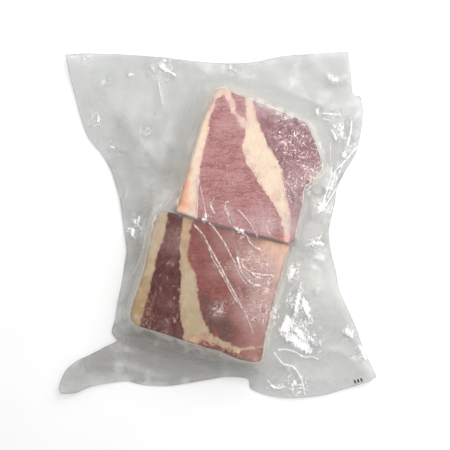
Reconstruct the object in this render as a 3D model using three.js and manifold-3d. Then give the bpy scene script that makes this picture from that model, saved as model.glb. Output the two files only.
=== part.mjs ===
// Two blocks of frozen brisket, side by side in a clear vacuum bag that lies flat.
//
// Millimetres, +Z up. The origin is the middle of the bag's outline, on the surface it
// lies on; +X runs across the bag and +Y along it, towards its filled end.
//
// The bag and the meat it is shrunk onto are one closed solid: a thin, wavy border of
// welded film that rises in a tent to each block's shoulder, with the blocks' rounded
// tops standing out of it on either side of a narrow gap.

import * as THREE from "three";
import { mergeVertices } from "three/addons/utils/BufferGeometryUtils.js";
import Module from "manifold-3d";

// Driving dimensions.
const UPPER_BLOCK_HEIGHT = 44;
const LOWER_BLOCK_HEIGHT = 41;
const BLOCK_EDGE_RADIUS = 5;
const BLOCK_FOOT_HEIGHT = 6;
const GAP_FILM_HEIGHT = 34;
const FILM_STANDOFF = 1;

const BORDER_THICKNESS = 1.2;
const BORDER_HEIGHT = 2.6;
const RIPPLE_HEIGHT = 1.1;
const RIPPLE_COUNT = 11;
const TENT_STEEPNESS = 1.9;
const TENT_WIDTH = { left: 15, right: 24, top: 19, bottom: 35 };
const BASE_TUCK = 0.75;

const COLUMNS = 144;
const BLOCK_SIDES = 72;
const EDGE_STEPS = 3;

// Rings of the film, by stage: 0 is the middle of the pack, 1 the blocks' shoulder,
// 2 the foot of the tent and 3 the edge of the bag.
const TOP_STAGES = [0, 0.6, 1, 1.1, 1.22, 1.36, 1.54, 1.76, 2, 2.25, 2.5, 2.75, 3];
const BASE_STAGES = [3, 2.66, 2.33, 2, 1.75, 1.5, 1.25, 1, 0.5, 0];

// Outline of each block's top, clockwise from the left end of the gap between them.
const UPPER_BLOCK = [
  [-36, 12], [-30, 33], [-18, 69], [-7, 105], [-1, 117], [6, 121], [17, 118],
  [51, 104], [70, 96], [80, 88], [87, 73], [93, 53], [91, 45], [80, 35],
  [76, 24], [75, 11], [70, -3], [66, -13], [60, -15],
];
const LOWER_BLOCK = [
  [62, -19], [59, -32], [54, -50], [48, -73], [42, -102], [40, -116], [34, -120],
  [6, -115], [-30, -102], [-48, -97], [-68, -91], [-76, -87], [-78, -81],
  [-75, -64], [-68, -39], [-61, -16], [-58, 1], [-54, 9], [-46, 11.5],
];

// The bag's edge, clockwise from its top left corner, in runs that each start at a sharp
// corner. `facing` is the point of the blocks' outline that the run's first corner faces,
// and `lift` is how far that corner curls up off the table.
const EDGE_RUNS = [
  {
    facing: [-7, 105],
    lift: 7,
    points: [
      [-141, 158], [-125, 160], [-97, 160.5], [-54, 158], [-23, 154], [6, 152],
      [35, 153], [58, 158], [85, 160], [121, 161],
    ],
  },
  {
    facing: [80, 88],
    lift: 9,
    points: [
      [121, 161], [125, 138], [127, 123], [134, 120], [136, 106], [134, 87],
      [129, 67], [120, 52], [112, 36], [110, 22], [106, 6], [104, -6], [106, -23],
      [111, -44], [114, -61], [123, -81], [131, -99], [136, -115], [147, -140],
    ],
  },
  {
    facing: [40, -116],
    lift: 10,
    points: [
      [147, -140], [139, -146], [120, -153], [101, -158.5], [81, -161], [58, -161],
      [42, -158], [31, -153], [28, -144], [8, -142], [-13, -145], [-28, -148],
      [-50, -151], [-69, -150], [-84, -146.5], [-99, -147.5], [-119, -151],
      [-132, -156], [-145, -156],
    ],
  },
  {
    facing: [-52, -96],
    lift: 8,
    points: [
      [-145, -156], [-147, -150], [-142, -136], [-132, -127], [-119, -121],
      [-104, -113], [-93, -108],
    ],
  },
  {
    facing: [-76, -87],
    lift: 0,
    points: [
      [-93, -108], [-99, -100], [-96, -88], [-93, -70], [-90, -55], [-87, -36],
      [-85, -23], [-88, -1], [-91, 22], [-95, 37], [-100, 52], [-109, 67],
      [-121, 82], [-128, 100], [-133, 119], [-138, 141], [-141, 158],
    ],
  },
];
const CORNER_REACH = 46;

const toVector = ([x, y]) => new THREE.Vector3(x, y, 0);

function closedOutline(points) {
  return new THREE.CatmullRomCurve3(points.map(toVector), true, "catmullrom", 0.4);
}

function openEdge(points) {
  return new THREE.CatmullRomCurve3(points.map(toVector), false, "catmullrom", 0.4);
}

// The film bears on the outside of both blocks taken together.
const shoulder = closedOutline([...UPPER_BLOCK, ...LOWER_BLOCK]);
const shoulderSamples = shoulder.getSpacedPoints(600);

function shoulderParameter(point) {
  const target = toVector(point);
  let nearest = 0;
  shoulderSamples.forEach((sample, index) => {
    if (sample.distanceTo(target) < shoulderSamples[nearest].distanceTo(target)) {
      nearest = index;
    }
  });
  return nearest / (shoulderSamples.length - 1);
}

// One spoke per column of vertices, from the blocks' shoulder out to the bag's edge. Each
// run of the edge takes its share of the columns, and faces its own stretch of shoulder.
function spokes() {
  const edges = EDGE_RUNS.map((run) => openEdge(run.points));
  const lengths = edges.map((edge) => edge.getLength());
  const total = lengths.reduce((sum, length) => sum + length, 0);
  const result = [];
  EDGE_RUNS.forEach((run, index) => {
    const next = EDGE_RUNS[(index + 1) % EDGE_RUNS.length];
    const from = shoulderParameter(run.facing);
    const stretch = (shoulderParameter(next.facing) - from + 1) % 1;
    const columns = Math.round((COLUMNS * lengths[index]) / total);
    for (let column = 0; column < columns; column += 1) {
      const share = column / columns;
      result.push({
        inner: shoulder.getPointAt((from + stretch * share) % 1),
        outer: edges[index].getPointAt(share),
      });
    }
  });
  return result;
}

// The tent reaches further out on the sides where the bag is slack.
function tentWidth(direction) {
  const across = direction.x > 0 ? TENT_WIDTH.right : TENT_WIDTH.left;
  const along = direction.y > 0 ? TENT_WIDTH.top : TENT_WIDTH.bottom;
  return across * direction.x ** 2 + along * direction.y ** 2;
}

// Height of the middle of the welded border over the table.
function borderHeight(point) {
  const around = Math.atan2(point.y, point.x);
  let height = BORDER_HEIGHT + RIPPLE_HEIGHT * Math.cos(RIPPLE_COUNT * around);
  for (const { points: [[x, y]], lift } of EDGE_RUNS) {
    const nearness = Math.max(0, 1 - Math.hypot(point.x - x, point.y - y) / CORNER_REACH);
    height += lift * nearness ** 2;
  }
  return height;
}

function placeOnSpoke(spoke, stage) {
  const outward = spoke.outer.clone().sub(spoke.inner);
  const length = outward.length();
  outward.normalize();
  const start = spoke.inner.clone().addScaledVector(outward, FILM_STANDOFF);
  if (stage <= 1) {
    return start.multiplyScalar(stage);
  }
  const foot = Math.min(tentWidth(outward), length * 0.6);
  const reach = stage <= 2
    ? foot * (stage - 1)
    : foot + (length - FILM_STANDOFF - foot) * (stage - 2);
  return start.addScaledVector(outward, reach);
}

function topOfFilm(point, stage) {
  const border = borderHeight(point) + BORDER_THICKNESS / 2;
  const rise = Math.max(0, 2 - Math.max(stage, 1)) ** TENT_STEEPNESS;
  return border + (GAP_FILM_HEIGHT - border) * rise;
}

function baseOfFilm(point, stage) {
  const border = borderHeight(point) - BORDER_THICKNESS / 2;
  const tuck = THREE.MathUtils.smoothstep(stage, 1, 1 + 1 / BASE_TUCK);
  return border * tuck;
}

// A sphere's grid of vertices, pulled to shape: its rows become the rings, from the middle
// of the top round to the middle of the base, and its columns run clockwise round them.
function ringedSolid(columnCount, rings, place) {
  const geometry = new THREE.SphereGeometry(1, columnCount, rings.length - 1);
  const position = geometry.attributes.position;
  for (let index = 0; index < position.count; index += 1) {
    const row = Math.floor(index / (columnCount + 1));
    const column = columnCount - (index % (columnCount + 1));
    const point = place(column % columnCount, rings[row]);
    position.setXYZ(index, point.x, point.y, point.z);
  }
  return geometry;
}

function filmGeometry() {
  const columns = spokes();
  const rings = [
    ...TOP_STAGES.map((stage) => ({ stage, height: topOfFilm })),
    ...BASE_STAGES.map((stage) => ({ stage, height: baseOfFilm })),
  ];
  return ringedSolid(columns.length, rings, (column, { stage, height }) => {
    const point = placeOnSpoke(columns[column], stage);
    return point.setZ(height(point, stage));
  });
}

// A block's wall goes straight up from its foot and turns over a rounded edge to its top.
function blockGeometry(points, height) {
  const outline = closedOutline(points).getSpacedPoints(BLOCK_SIDES).slice(0, -1);
  const centre = new THREE.Vector3();
  outline.forEach((corner) => centre.addScaledVector(corner, 1 / outline.length));
  const rings = [{ share: 0, inset: 0, height }, { share: 0.5, inset: 0, height }];
  for (let step = 0; step <= EDGE_STEPS; step += 1) {
    const turn = (step / EDGE_STEPS) * (Math.PI / 2);
    rings.push({
      share: 1,
      inset: BLOCK_EDGE_RADIUS * (1 - Math.sin(turn)),
      height: height - BLOCK_EDGE_RADIUS * (1 - Math.cos(turn)),
    });
  }
  rings.push({ share: 1, inset: 0, height: BLOCK_FOOT_HEIGHT });
  rings.push({ share: 0, inset: 0, height: BLOCK_FOOT_HEIGHT });
  return ringedSolid(outline.length, rings, (column, ring) => {
    const outward = outline[column].clone().sub(centre);
    outward.setLength(outward.length() * ring.share - ring.inset);
    return outward.add(centre).setZ(ring.height);
  });
}

const wasm = await Module();
wasm.setup();

function toSolid(geometry) {
  geometry.deleteAttribute("normal");
  geometry.deleteAttribute("uv");
  const merged = mergeVertices(geometry, 1e-4);
  return new wasm.Manifold(new wasm.Mesh({
    numProp: 3,
    vertProperties: merged.attributes.position.array,
    triVerts: Uint32Array.from(merged.index.array),
  }));
}

function toGeometry(solid) {
  const mesh = solid.getMesh();
  const geometry = new THREE.BufferGeometry();
  geometry.setAttribute("position", new THREE.BufferAttribute(mesh.vertProperties, 3));
  geometry.setIndex(new THREE.BufferAttribute(mesh.triVerts, 1));
  geometry.computeVertexNormals();
  return geometry;
}

const pack = toSolid(filmGeometry())
  .add(toSolid(blockGeometry(UPPER_BLOCK, UPPER_BLOCK_HEIGHT)))
  .add(toSolid(blockGeometry(LOWER_BLOCK, LOWER_BLOCK_HEIGHT)));

const vacuumBag = new THREE.Mesh(
  toGeometry(pack),
  new THREE.MeshStandardMaterial({ color: 0xc9c2bf, roughness: 0.25, metalness: 0 }),
);
vacuumBag.name = "vacuum_bag";

const brisketPack = new THREE.Group();
brisketPack.add(vacuumBag);

export default brisketPack;
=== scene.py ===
"""Two blocks of frozen brisket in a clear vacuum bag, seen from straight above.

The bag is one closed envelope of crinkled film. Two uneven frozen blocks lie inside it,
with their fat seams running down through them.
"""

import math

import bpy
import numpy as np
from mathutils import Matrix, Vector
from mathutils.geometry import delaunay_2d_cdt


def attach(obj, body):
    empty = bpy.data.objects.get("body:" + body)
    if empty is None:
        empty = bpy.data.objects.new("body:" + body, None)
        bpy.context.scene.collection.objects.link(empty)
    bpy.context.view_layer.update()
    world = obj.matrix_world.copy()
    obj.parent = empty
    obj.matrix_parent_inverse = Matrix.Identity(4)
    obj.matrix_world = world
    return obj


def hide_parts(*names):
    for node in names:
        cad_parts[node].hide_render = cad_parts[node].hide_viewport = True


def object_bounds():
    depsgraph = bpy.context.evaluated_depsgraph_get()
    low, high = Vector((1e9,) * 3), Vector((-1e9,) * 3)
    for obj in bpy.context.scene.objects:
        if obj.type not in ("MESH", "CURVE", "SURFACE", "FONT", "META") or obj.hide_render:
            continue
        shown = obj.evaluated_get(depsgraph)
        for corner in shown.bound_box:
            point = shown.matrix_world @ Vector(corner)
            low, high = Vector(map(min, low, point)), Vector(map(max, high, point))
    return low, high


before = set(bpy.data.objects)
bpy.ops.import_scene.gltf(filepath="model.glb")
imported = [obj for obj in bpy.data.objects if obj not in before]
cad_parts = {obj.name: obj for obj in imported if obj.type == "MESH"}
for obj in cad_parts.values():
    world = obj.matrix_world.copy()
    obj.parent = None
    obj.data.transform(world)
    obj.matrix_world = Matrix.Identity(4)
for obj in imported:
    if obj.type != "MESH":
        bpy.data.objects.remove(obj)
CAD_LOW, CAD_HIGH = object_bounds()

bl_info = {
    "name": "Frozen brisket pack",
    "version": (1, 0, 0),
    "blender": (4, 5, 0),
    "location": "3D View > Sidebar > Brisket pack",
    "description": "Builds a vacuum pack of two frozen brisket blocks and a plain stage for it",
    "category": "Add Mesh",
}

NODE = "vacuum_bag"
BODY = "root"
MM = 0.001

# The photograph's frame: the camera looks straight down on its middle.
PHOTO_SIDE = 450
LOOKED_AT = (225.0, 225.0)
PACK_MIDDLE = (217.5, 225.3)
PIXEL = 0.94
CAMERA_HEIGHT = 700.0

# The pack, in millimetres. Its rim is the solid's, and its tent reaches further out.
EDGE_RADIUS = 2.4
GAP_EDGE_RADIUS = 0.8
GAP_REACH = (2.5, 9.0)
SHOULDER_DROP = 6.0
FOOT_RADIUS = 4.0
FILM_SKIN = 0.6
GAP_SAG = 1.3
FILM_STANDOFF = 1.0
FILM_LIFT = 0.25
TENT_STEEPNESS = 1.7
TENT_WIDTH = {"left": 26.0, "right": 28.0, "top": 26.0, "bottom": 36.0}
BORDER_HEIGHT = 2.6
BORDER_GAP = 0.5
GATHER_WIDTH = 13.0
RIPPLE_HEIGHT = 1.1
RIPPLE_COUNT = 11
CORNER_REACH = 46.0
TENT_SHARE = 0.6
BLOCKS_REACH = (80, 120)
STEP_BAND = (-14, 6)
BASE_TUCK = 4 / 3
WALL_FALL = 4
WEB_EASING = 3.2
WEB_REACH = (4, 22)
BRIDGE_INSET = 2.0
BLOCK_SOFTNESS = 0.25
TENT_SOFTNESS = 0.5
UNDERSIDE_LIFT = 0.45
# How far each block's side leans out below its shoulder, by the way that it faces.
SIDE_LEAN = {
    "upper": {"way": (-0.95, 0.3), "reach": 2.0},
    "lower": {"way": (-0.9, -0.1), "reach": 2.0},
}

# Outline of each block's top in the photograph, clockwise: its outer edge, then its edge
# along the gap between the blocks.
OUTER_EDGES = {
    "upper": (
        (176.5, 210.5), (178, 203), (182.5, 187), (188.3, 168), (194, 149), (201.2, 125),
        (209.5, 105), (214.5, 93), (217.5, 89), (221, 87.5), (226, 87.5), (231, 90.5), (251, 98.5),
        (268, 105.2), (287, 113.5), (300, 119), (306, 122.5), (309, 126), (314, 138), (319, 152),
        (322.5, 163), (322.5, 168), (320, 173), (313, 180), (306, 186), (303.5, 192),
        (303, 204), (300, 215), (297, 229), (295.5, 238), (294, 241.5), (290.5, 243),
    ),
    "lower": (
        (289.5, 246), (289, 250), (286, 259), (281.5, 275), (277, 292), (271.5, 312),
        (267, 330), (263.8, 347), (262.6, 357), (261, 361.3), (257, 363), (247, 361.8),
        (236, 359), (221, 353), (203, 347.5), (183, 341), (163, 334.5), (147, 329.5),
        (138, 327), (132, 323.5), (129.5, 318), (130.5, 309), (137, 290), (143, 271),
        (148, 249), (151.5, 230), (153, 222), (156, 216), (161, 212.5),
    ),
}
GAP_EDGES = {
    "upper": (
        (286, 242.9), (270, 238.6), (233, 228.8), (210, 223.3), (183, 214), (179.5, 212.6)
    ),
    "lower": (
        (168, 212), (191, 218.7), (214, 225), (236, 230.7), (258, 237.1), (281, 243.0),
        (286, 244.2),
    ),
}
GAP = ((158, 209), (176, 212.5), (210, 224), (236, 230), (262, 237.5), (292, 245))
# Where a block's edge rounds over more widely: (x, y, radius in the photograph, millimetres).
WIDE_ROUNDS = {
    "upper": ((177, 210, 20, 10.0), (181, 194, 18, 6.0), (187, 176, 16, 3.5)),
    "lower": ((156, 217, 16, 6.0), (129, 320, 12, 2.5)),
}

# The bag's edge in runs between sharp corners, and how far each run's first corner lifts.
EDGE_RUNS = (
    (7, (
        (-141, 158), (-125, 160), (-97, 160.5), (-54, 158), (-23, 154), (6, 152),
        (35, 153), (58, 158), (85, 160), (121, 161),
    )),
    (9, (
        (121, 161), (125, 138), (127, 123), (134, 120), (136, 106), (134, 87), (129, 67),
        (120, 52), (112, 36), (110, 22), (106, 6), (104, -6), (106, -23), (111, -44),
        (114, -61), (123, -81), (131, -99), (136, -115), (147, -140),
    )),
    (10, (
        (147, -140), (139, -146), (120, -153), (101, -158.5), (81, -161), (58, -161),
        (42, -158), (31, -153), (28, -144), (8, -142), (-13, -145), (-28, -148),
        (-50, -151), (-69, -150), (-84, -146.5), (-99, -147.5), (-119, -151),
        (-132, -156), (-145, -156),
    )),
    (8, (
        (-145, -156), (-147, -150), (-142, -136), (-132, -127), (-119, -121),
        (-104, -113), (-93, -108),
    )),
    (0, (
        (-93, -108), (-99, -100), (-96, -88), (-93, -70), (-90, -55), (-87, -36),
        (-85, -23), (-88, -1), (-91, 22), (-95, 37), (-100, 52), (-109, 67), (-121, 82),
        (-128, 100), (-133, 119), (-138, 141), (-141, 158),
    )),
)

# Fat in each block, as bands down the photograph: rows of (y, left x, right x).
FAT_BANDS = {
    "upper": (
        ((84, 200, 234), (92, 195, 226), (98, 190, 218), (103, 187, 215), (109, 185, 212),
         (122, 180, 209.5), (134, 178, 207.5), (155, 172, 202.5), (183, 163, 199),
         (203, 158, 197.5), (222, 155, 196)),
        ((90, 245.5, 250), (97, 245.5, 252), (109, 246, 254.3), (120, 246.5, 257.5),
         (131, 245, 261.5), (142, 243.5, 266), (150, 243.2, 271), (158, 245.5, 276.5),
         (164, 248, 279.5), (171, 252, 282.5), (181, 258.5, 284.3), (193, 266, 286),
         (201, 272, 288), (213, 279, 290), (231, 283, 290), (256, 285, 289)),
        ((88, 222, 231), (95, 225, 232), (104, 229, 235.5), (112, 230.5, 236.5),
         (116, 234.5, 241), (121, 239, 246), (127, 241, 248)),
    ),
    "lower": (
        ((200, 130, 168), (216, 128, 167), (234, 125, 165), (249, 122, 159), (270, 118, 154),
         (290, 112, 149), (310, 108, 144), (327, 106, 139), (345, 104, 134)),
        ((200, 184, 195), (218, 183, 193), (234, 181, 190), (257, 180, 188), (277, 181, 196),
         (295, 180, 198), (308, 180, 199), (322, 181, 205), (333, 183, 209), (342, 183, 200),
         (350, 182, 194)),
    ),
}
FAT_RIBBONS = {
    "upper": (),
    "lower": (
        (2.9, ((199, 330), (211, 338), (221, 343), (230, 347), (238, 350))),
        (3.6, ((198, 334), (206, 338), (214, 341))),
        (2.0, ((192, 345.5), (205, 350.5), (218, 355.5), (232, 360))),
        (1.0, ((236, 349), (246, 349), (256, 347.5), (265, 346))),
    ),
}

# The second muscle of each block, whose lean has another tone.
SECOND_MUSCLE = {
    "upper": (
        (251, 84), (258, 116), (263, 142), (274, 160), (286, 180), (290, 196), (292, 213),
        (294, 250), (345, 250), (345, 84),
    ),
    "lower": (
        (164, 200), (188, 200), (184, 240), (184, 300), (186, 345), (120, 345), (140, 327),
        (149, 290), (159, 249), (165, 232),
    ),
}
# Round patches on the meat: (x, y, radius in the photograph, strength).
MEAT_PATCHES = {
    "upper": {
        "dark": ((288, 196, 7, 0.5), (258, 214, 5, 0.3), (286, 238, 6, 0.3)),
        "warm": ((176, 210, 15, 1), (180, 197, 12, 1), (184, 184, 9, 1), (188, 171, 7, 0.7),
                 (224, 92, 7, 0.3), (286, 241, 6, 0.8)),
        "yellow": (),
        "pink": ((197, 206, 9, 0.8), (199, 184, 8, 0.7), (203, 160, 6, 0.5), (224, 91, 8, 0.6),
                 (232, 103, 7, 1.0), (238, 115, 8, 1.3), (243, 126, 6, 0.6), (214, 104, 8, 1.3),
                 (246, 152, 5, 0.9), (251, 167, 5, 0.9), (257, 177, 5, 0.7), (276, 196, 7, 0.7),
                 (284, 218, 6, 0.3)),
        "peach": ((286, 239, 5, 0.5),),
        "specks": ((262, 170, 8, 0.5), (180, 200, 16, 0.3)),
        "frost": ((228, 214, 13, 0.3), (312, 172, 13, 0.4),
                  (248, 104, 9, 0.4), (250, 119, 9, 0.3), (268, 226, 9, 0.5),
                  (232, 103, 7, 0.5), (238, 116, 7, 0.4), (243, 126, 6, 0.3),
                  (214, 103, 7, 0.3), (223, 91, 7, 0.4), (296, 212, 13, 0.3),
                  (292, 229, 12, 0.7), (275, 113, 9, 0.4), (262, 109, 9, 0.4),
                  (262, 222, 20, 0.4), (298, 184, 18, 0.3)),
    },
    "lower": {
        "dark": ((212, 320, 17, 1), (226, 331, 13, 1), (204, 300, 8, 0.8), (172, 208, 12, 0.4),
                 (222, 356, 14, 0.7)),
        "warm": ((280, 250, 9, 1), (275, 258, 8, 0.8), (268, 244, 8, 0.7), (190, 345, 9, 0.35),
                 (190, 232, 12, 0.25), (205, 351, 8, 0.5), (222, 357, 8, 0.5),
                 (238, 359, 7, 0.6), (257, 361, 6, 0.8), (283, 262, 5, 0.6)),
        "pink": ((188, 224, 13, 1.4), (187, 240, 11, 0.8), (190, 343, 9, 1.6),
                 (204, 339, 7, 1.1), (216, 342, 7, 0.6), (229, 347, 7, 0.6)),
        "peach": ((285, 251, 10, 1), (281, 262, 10, 1), (273, 248, 9, 0.9), (279, 275, 7, 0.8),
                  (264, 247, 9, 0.7), (268, 258, 9, 0.5), (251, 255, 9, 0.45), (256, 361, 5, 0.35)),
        "yellow": ((138, 308, 13, 1), (143, 286, 11, 0.9), (132, 322, 9, 0.9), (147, 262, 9, 0.5),
                   (190, 320, 18, 0.35), (188, 226, 13, 0.7), (187, 244, 12, 0.6),
                   (186, 264, 10, 0.4)),
        "specks": ((146, 308, 7, 0.8), (143, 322, 6, 0.7), (207, 350, 13, 0.9),
                   (228, 357, 11, 0.9), (246, 361, 8, 0.9), (192, 343, 8, 0.8)),
        "frost": ((268, 268, 30, 0.8), (240, 244, 16, 0.35), (272, 296, 24, 0.65),
                  (264, 316, 24, 0.6), (246, 312, 16, 0.45), (256, 344, 18, 0.3),
                  (238, 268, 13, 0.5), (222, 242, 14, 0.25), (219, 312, 8, 0.3),
                  (214, 272, 12, 0.2), (172, 242, 16, 0.18), (230, 298, 10, 0.12)),
    },
}

# Pleats pinched up in the film: (height, half-width, whiteness, points in the photograph). The
# whiteness is partly the film's own whitening along a fold and partly a painted highlight.
MEAT_PLEATS = (
    (1.0, 0.9, 1.0, ((193, 222), (195, 226), (203.8, 236), (207.5, 243.8), (213.8, 255),
                     (220, 266), (227.5, 281), (237.5, 299), (243, 311))),
    (0.7, 0.8, 0.8, ((207.5, 245), (212.5, 258.8), (217.5, 267.5), (226, 282.5), (235, 299),
                     (247, 315))),
    (0.6, 0.8, 0.7, ((238, 301), (246, 315), (251, 327), (254, 338))),
    (0.9, 0.9, 0.9, ((207, 221), (213.8, 227.5), (222.5, 240), (227.5, 248.8), (232.5, 258.8),
                     (236, 265))),
    (0.9, 0.9, 0.9, ((235.6, 208.8), (242, 213.8), (250, 223.8), (256, 233.8), (259, 238.5))),
    (0.5, 0.8, 0.6, ((248, 218), (252.5, 222), (255.5, 230))),
    (1.0, 1.0, 1.0, ((229, 201), (225.4, 203.3), (225.3, 208.8), (228, 215), (228.8, 221),
                     (232, 227))),
    (0.8, 0.9, 0.9, ((232, 226), (240, 231), (246, 235), (250, 242.5), (256, 248), (265, 252))),
    (1.0, 1.1, 1.0, ((211.5, 199.5), (211, 206), (213, 211), (215.5, 216))),
    (0.5, 0.8, 0.6, ((216, 195), (213.5, 200), (212.5, 207))),
    (0.8, 0.9, 0.8, ((198, 178), (197.6, 200), (197, 212), (195.5, 221))),
    (0.8, 0.8, 0.9, ((200, 184), (203, 200), (205, 210), (206, 218))),
    (1.1, 1.1, 1.0, ((236, 255), (238.8, 262.5), (240.5, 270), (245, 277.5), (252.5, 283.8),
                     (262, 288))),
    (0.6, 0.9, 0.6, ((234, 262), (238, 272), (243, 280), (248, 286))),
    (0.9, 0.9, 0.9, ((240, 259), (244, 267.5), (251, 272.5), (260, 275), (277, 276))),
    (0.7, 0.8, 0.6, ((244, 261), (248, 270), (256, 277), (265, 280))),
    (0.5, 0.8, 0.4, ((262, 266), (270, 267), (278, 267))),
    (0.6, 0.8, 0.9, ((262, 304), (260, 311), (264, 318), (262, 327))),
    (0.5, 0.8, 0.8, ((266, 307), (267, 316), (266, 324))),
    (0.5, 0.7, 0.5, ((225, 160), (228, 176), (230, 188))),
    (0.3, 0.9, 0.5, ((212, 305), (216, 310), (221, 313.5), (229, 312))),
    (0.5, 0.8, 0.8, ((266, 224), (268, 232), (272, 237))),
    (0.5, 0.8, 0.6, ((283, 178), (290, 187), (296, 197))),
    (0.5, 0.7, 0.5, ((281, 186), (288, 196), (293, 205))),
    (0.5, 0.8, 0.5, ((284, 210), (289, 218), (291, 228))),
    (0.3, 0.8, 0.6, ((243, 150), (246.5, 162), (252, 171), (260, 181), (263, 190))),
)
# Sharp creases in the slack film round the meat, likewise.
SHARP_CREASES = (
    (0.9, 1.0, 0.9, ((275, 347.5), (285, 348.3), (295, 351.7), (304, 357), (313, 357.2),
                     (321, 361))),
    (0.8, 1.0, 0.8, ((271.7, 347), (276.7, 355), (283, 362.5), (292.5, 366), (298.5, 373),
                     (303, 385), (305, 397))),
    (0.8, 1.0, 0.6, ((266, 377), (272, 386), (280, 388), (284, 380))),
    (0.9, 1.2, 0.8, ((157, 65), (166, 69), (178, 77))),
    (0.7, 1.0, 0.5, ((147, 60), (151, 67), (157, 75))),
    (0.7, 1.0, 0.5, ((158, 78), (160, 92), (163, 107))),
    (0.7, 0.9, 0.7, ((319, 113), (331.7, 114), (341, 115))),
    (0.6, 0.9, 0.6, ((320, 117), (326, 120), (334, 120))),
    (0.8, 1.0, 0.5, ((330, 128), (334, 135), (338, 143))),
    (0.9, 1.1, 0.7, ((351, 118), (350, 134), (347, 149))),
    (0.9, 1.0, 0.9, ((358, 145), (347, 159), (337.5, 168), (331, 177))),
    (0.9, 1.0, 0.9, ((331, 165), (330, 178), (326, 193), (322, 205), (317, 215))),
    (0.8, 0.9, 0.8, ((335.5, 169), (331.5, 187), (327, 200))),
    (0.8, 0.9, 0.8, ((345, 171), (338, 185), (328, 202), (321, 211))),
    (0.6, 1.0, 0.5, ((331, 136), (329, 152), (330, 168))),
    (0.7, 0.9, 0.6, ((306, 187), (318, 177), (324, 171))),
    (0.6, 0.9, 0.5, ((302, 193), (308, 198))),
    (0.7, 1.0, 0.5, ((225, 66), (232, 69), (239, 74))),
    (0.7, 1.0, 0.45, ((148.6, 228), (144.5, 250), (137, 267), (127, 284))),
    (0.7, 1.0, 0.4, ((127, 183), (124, 204), (122, 226))),
    (0.6, 0.9, 0.5, ((97, 111), (98, 118), (97, 126))),
    (0.6, 0.9, 0.5, ((90, 127), (99, 125), (104, 129))),
    (0.6, 0.9, 0.4, ((109, 147), (117, 150))),
)
# Painted glints: mirror-bright streaks painted white into the film where it would reflect the
# lights: (half-width, whiteness, points in the photograph).
MEAT_PAINTED_GLINTS = (
    (2.4, 0.8, ((233, 228.5), (239, 230.5), (247, 233.5))),
    (1.0, 0.6, ((242, 226), (238, 235))),
    (0.9, 0.6, ((244, 229), (248, 236))),
    (1.4, 1.0, ((200, 218.5), (204.5, 219.5), (208.5, 218))),
    (1.0, 0.9, ((205.5, 212), (205, 220))),
    (1.1, 0.8, ((210.5, 201), (211, 209))),
    (1.0, 0.9, ((226, 201.5), (230, 201.5))),
    (1.1, 0.8, ((271, 286), (276, 294))),
    (1.4, 0.7, ((237, 255), (239, 265))),
    (1.1, 0.7, ((270, 276), (277, 277))),
    (0.8, 0.7, ((221, 267), (226, 269))),
    (0.9, 0.7, ((227, 270), (231, 265))),
    (0.7, 0.6, ((209, 261), (212, 266))),
    (0.8, 0.6, ((176, 245), (178, 252))),
    (0.8, 0.6, ((157, 312), (159, 322))),
    (0.8, 0.5, ((295, 158), (302, 163))),
    (0.8, 0.5, ((289, 124), (286, 130))),
    (0.8, 0.5, ((300, 122), (305, 126))),
    (0.8, 0.5, ((290, 140), (296, 145))),
    (0.8, 0.7, ((316, 150), (315, 160))),
    (0.8, 0.7, ((300, 176), (303, 184))),
)
SLACK_PAINTED_GLINTS = (
    (5.0, 1.15, ((292, 312), (287, 322), (281, 335))),
    (3.6, 1.15, ((280, 334), (292, 338), (304, 346), (315, 355))),
    (2.6, 1.1, ((292, 326), (300, 334), (309, 347))),
    (2.4, 1.0, ((301, 294), (306, 307), (311, 322))),
    (2.0, 1.0, ((299, 290), (297, 302), (294, 314))),
    (2.2, 0.6, ((299, 312), (302, 322), (306, 334))),
    (1.0, 0.8, ((301, 279), (299, 291))),
    (2.0, 1.1, ((292.5, 264), (290.8, 271.7), (286, 280))),
    (2.2, 0.9, ((311, 245), (319, 243), (327, 245))),
    (2.4, 1.15, ((341.5, 327.5), (348, 332.5), (356.5, 338))),
    (1.9, 1.05, ((357.5, 343), (361.7, 350), (366.5, 361))),
    (1.0, 0.9, ((272, 286), (273, 291))),
    (1.4, 1.1, ((316, 108), (318, 117))),
    (1.0, 0.9, ((330, 127), (334, 135), (336, 142))),
    (1.1, 0.9, ((352, 120), (350, 130), (347, 148))),
    (1.0, 0.7, ((345, 158), (338, 175), (331, 192))),
    (1.9, 0.9, ((326, 196), (322, 205), (318, 215))),
    (1.0, 0.5, ((328, 77), (338, 82), (348, 78))),
    (1.3, 1.0, ((158, 66), (168, 71), (178, 77))),
    (1.2, 0.5, ((149, 60), (155, 72))),
    (1.2, 0.9, ((85, 56), (86, 63))),
    (1.5, 0.7, ((110, 76), (110, 84))),
    (1.1, 0.7, ((129, 73), (130, 77))),
    (0.9, 0.7, ((98, 112), (100, 126))),
    (1.3, 0.8, ((110, 146), (115, 148))),
    (1.1, 0.7, ((146, 128), (149, 130))),
    (1.5, 1.0, ((140, 214), (138, 224))),
    (1.5, 1.0, ((134, 226), (132, 240))),
    (1.0, 0.8, ((136, 216), (135, 226))),
    (1.3, 0.9, ((270, 384), (276, 388))),
    (1.5, 0.9, ((293, 378), (297, 387))),
    (1.0, 0.6, ((227, 66), (236, 71))),
)
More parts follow.
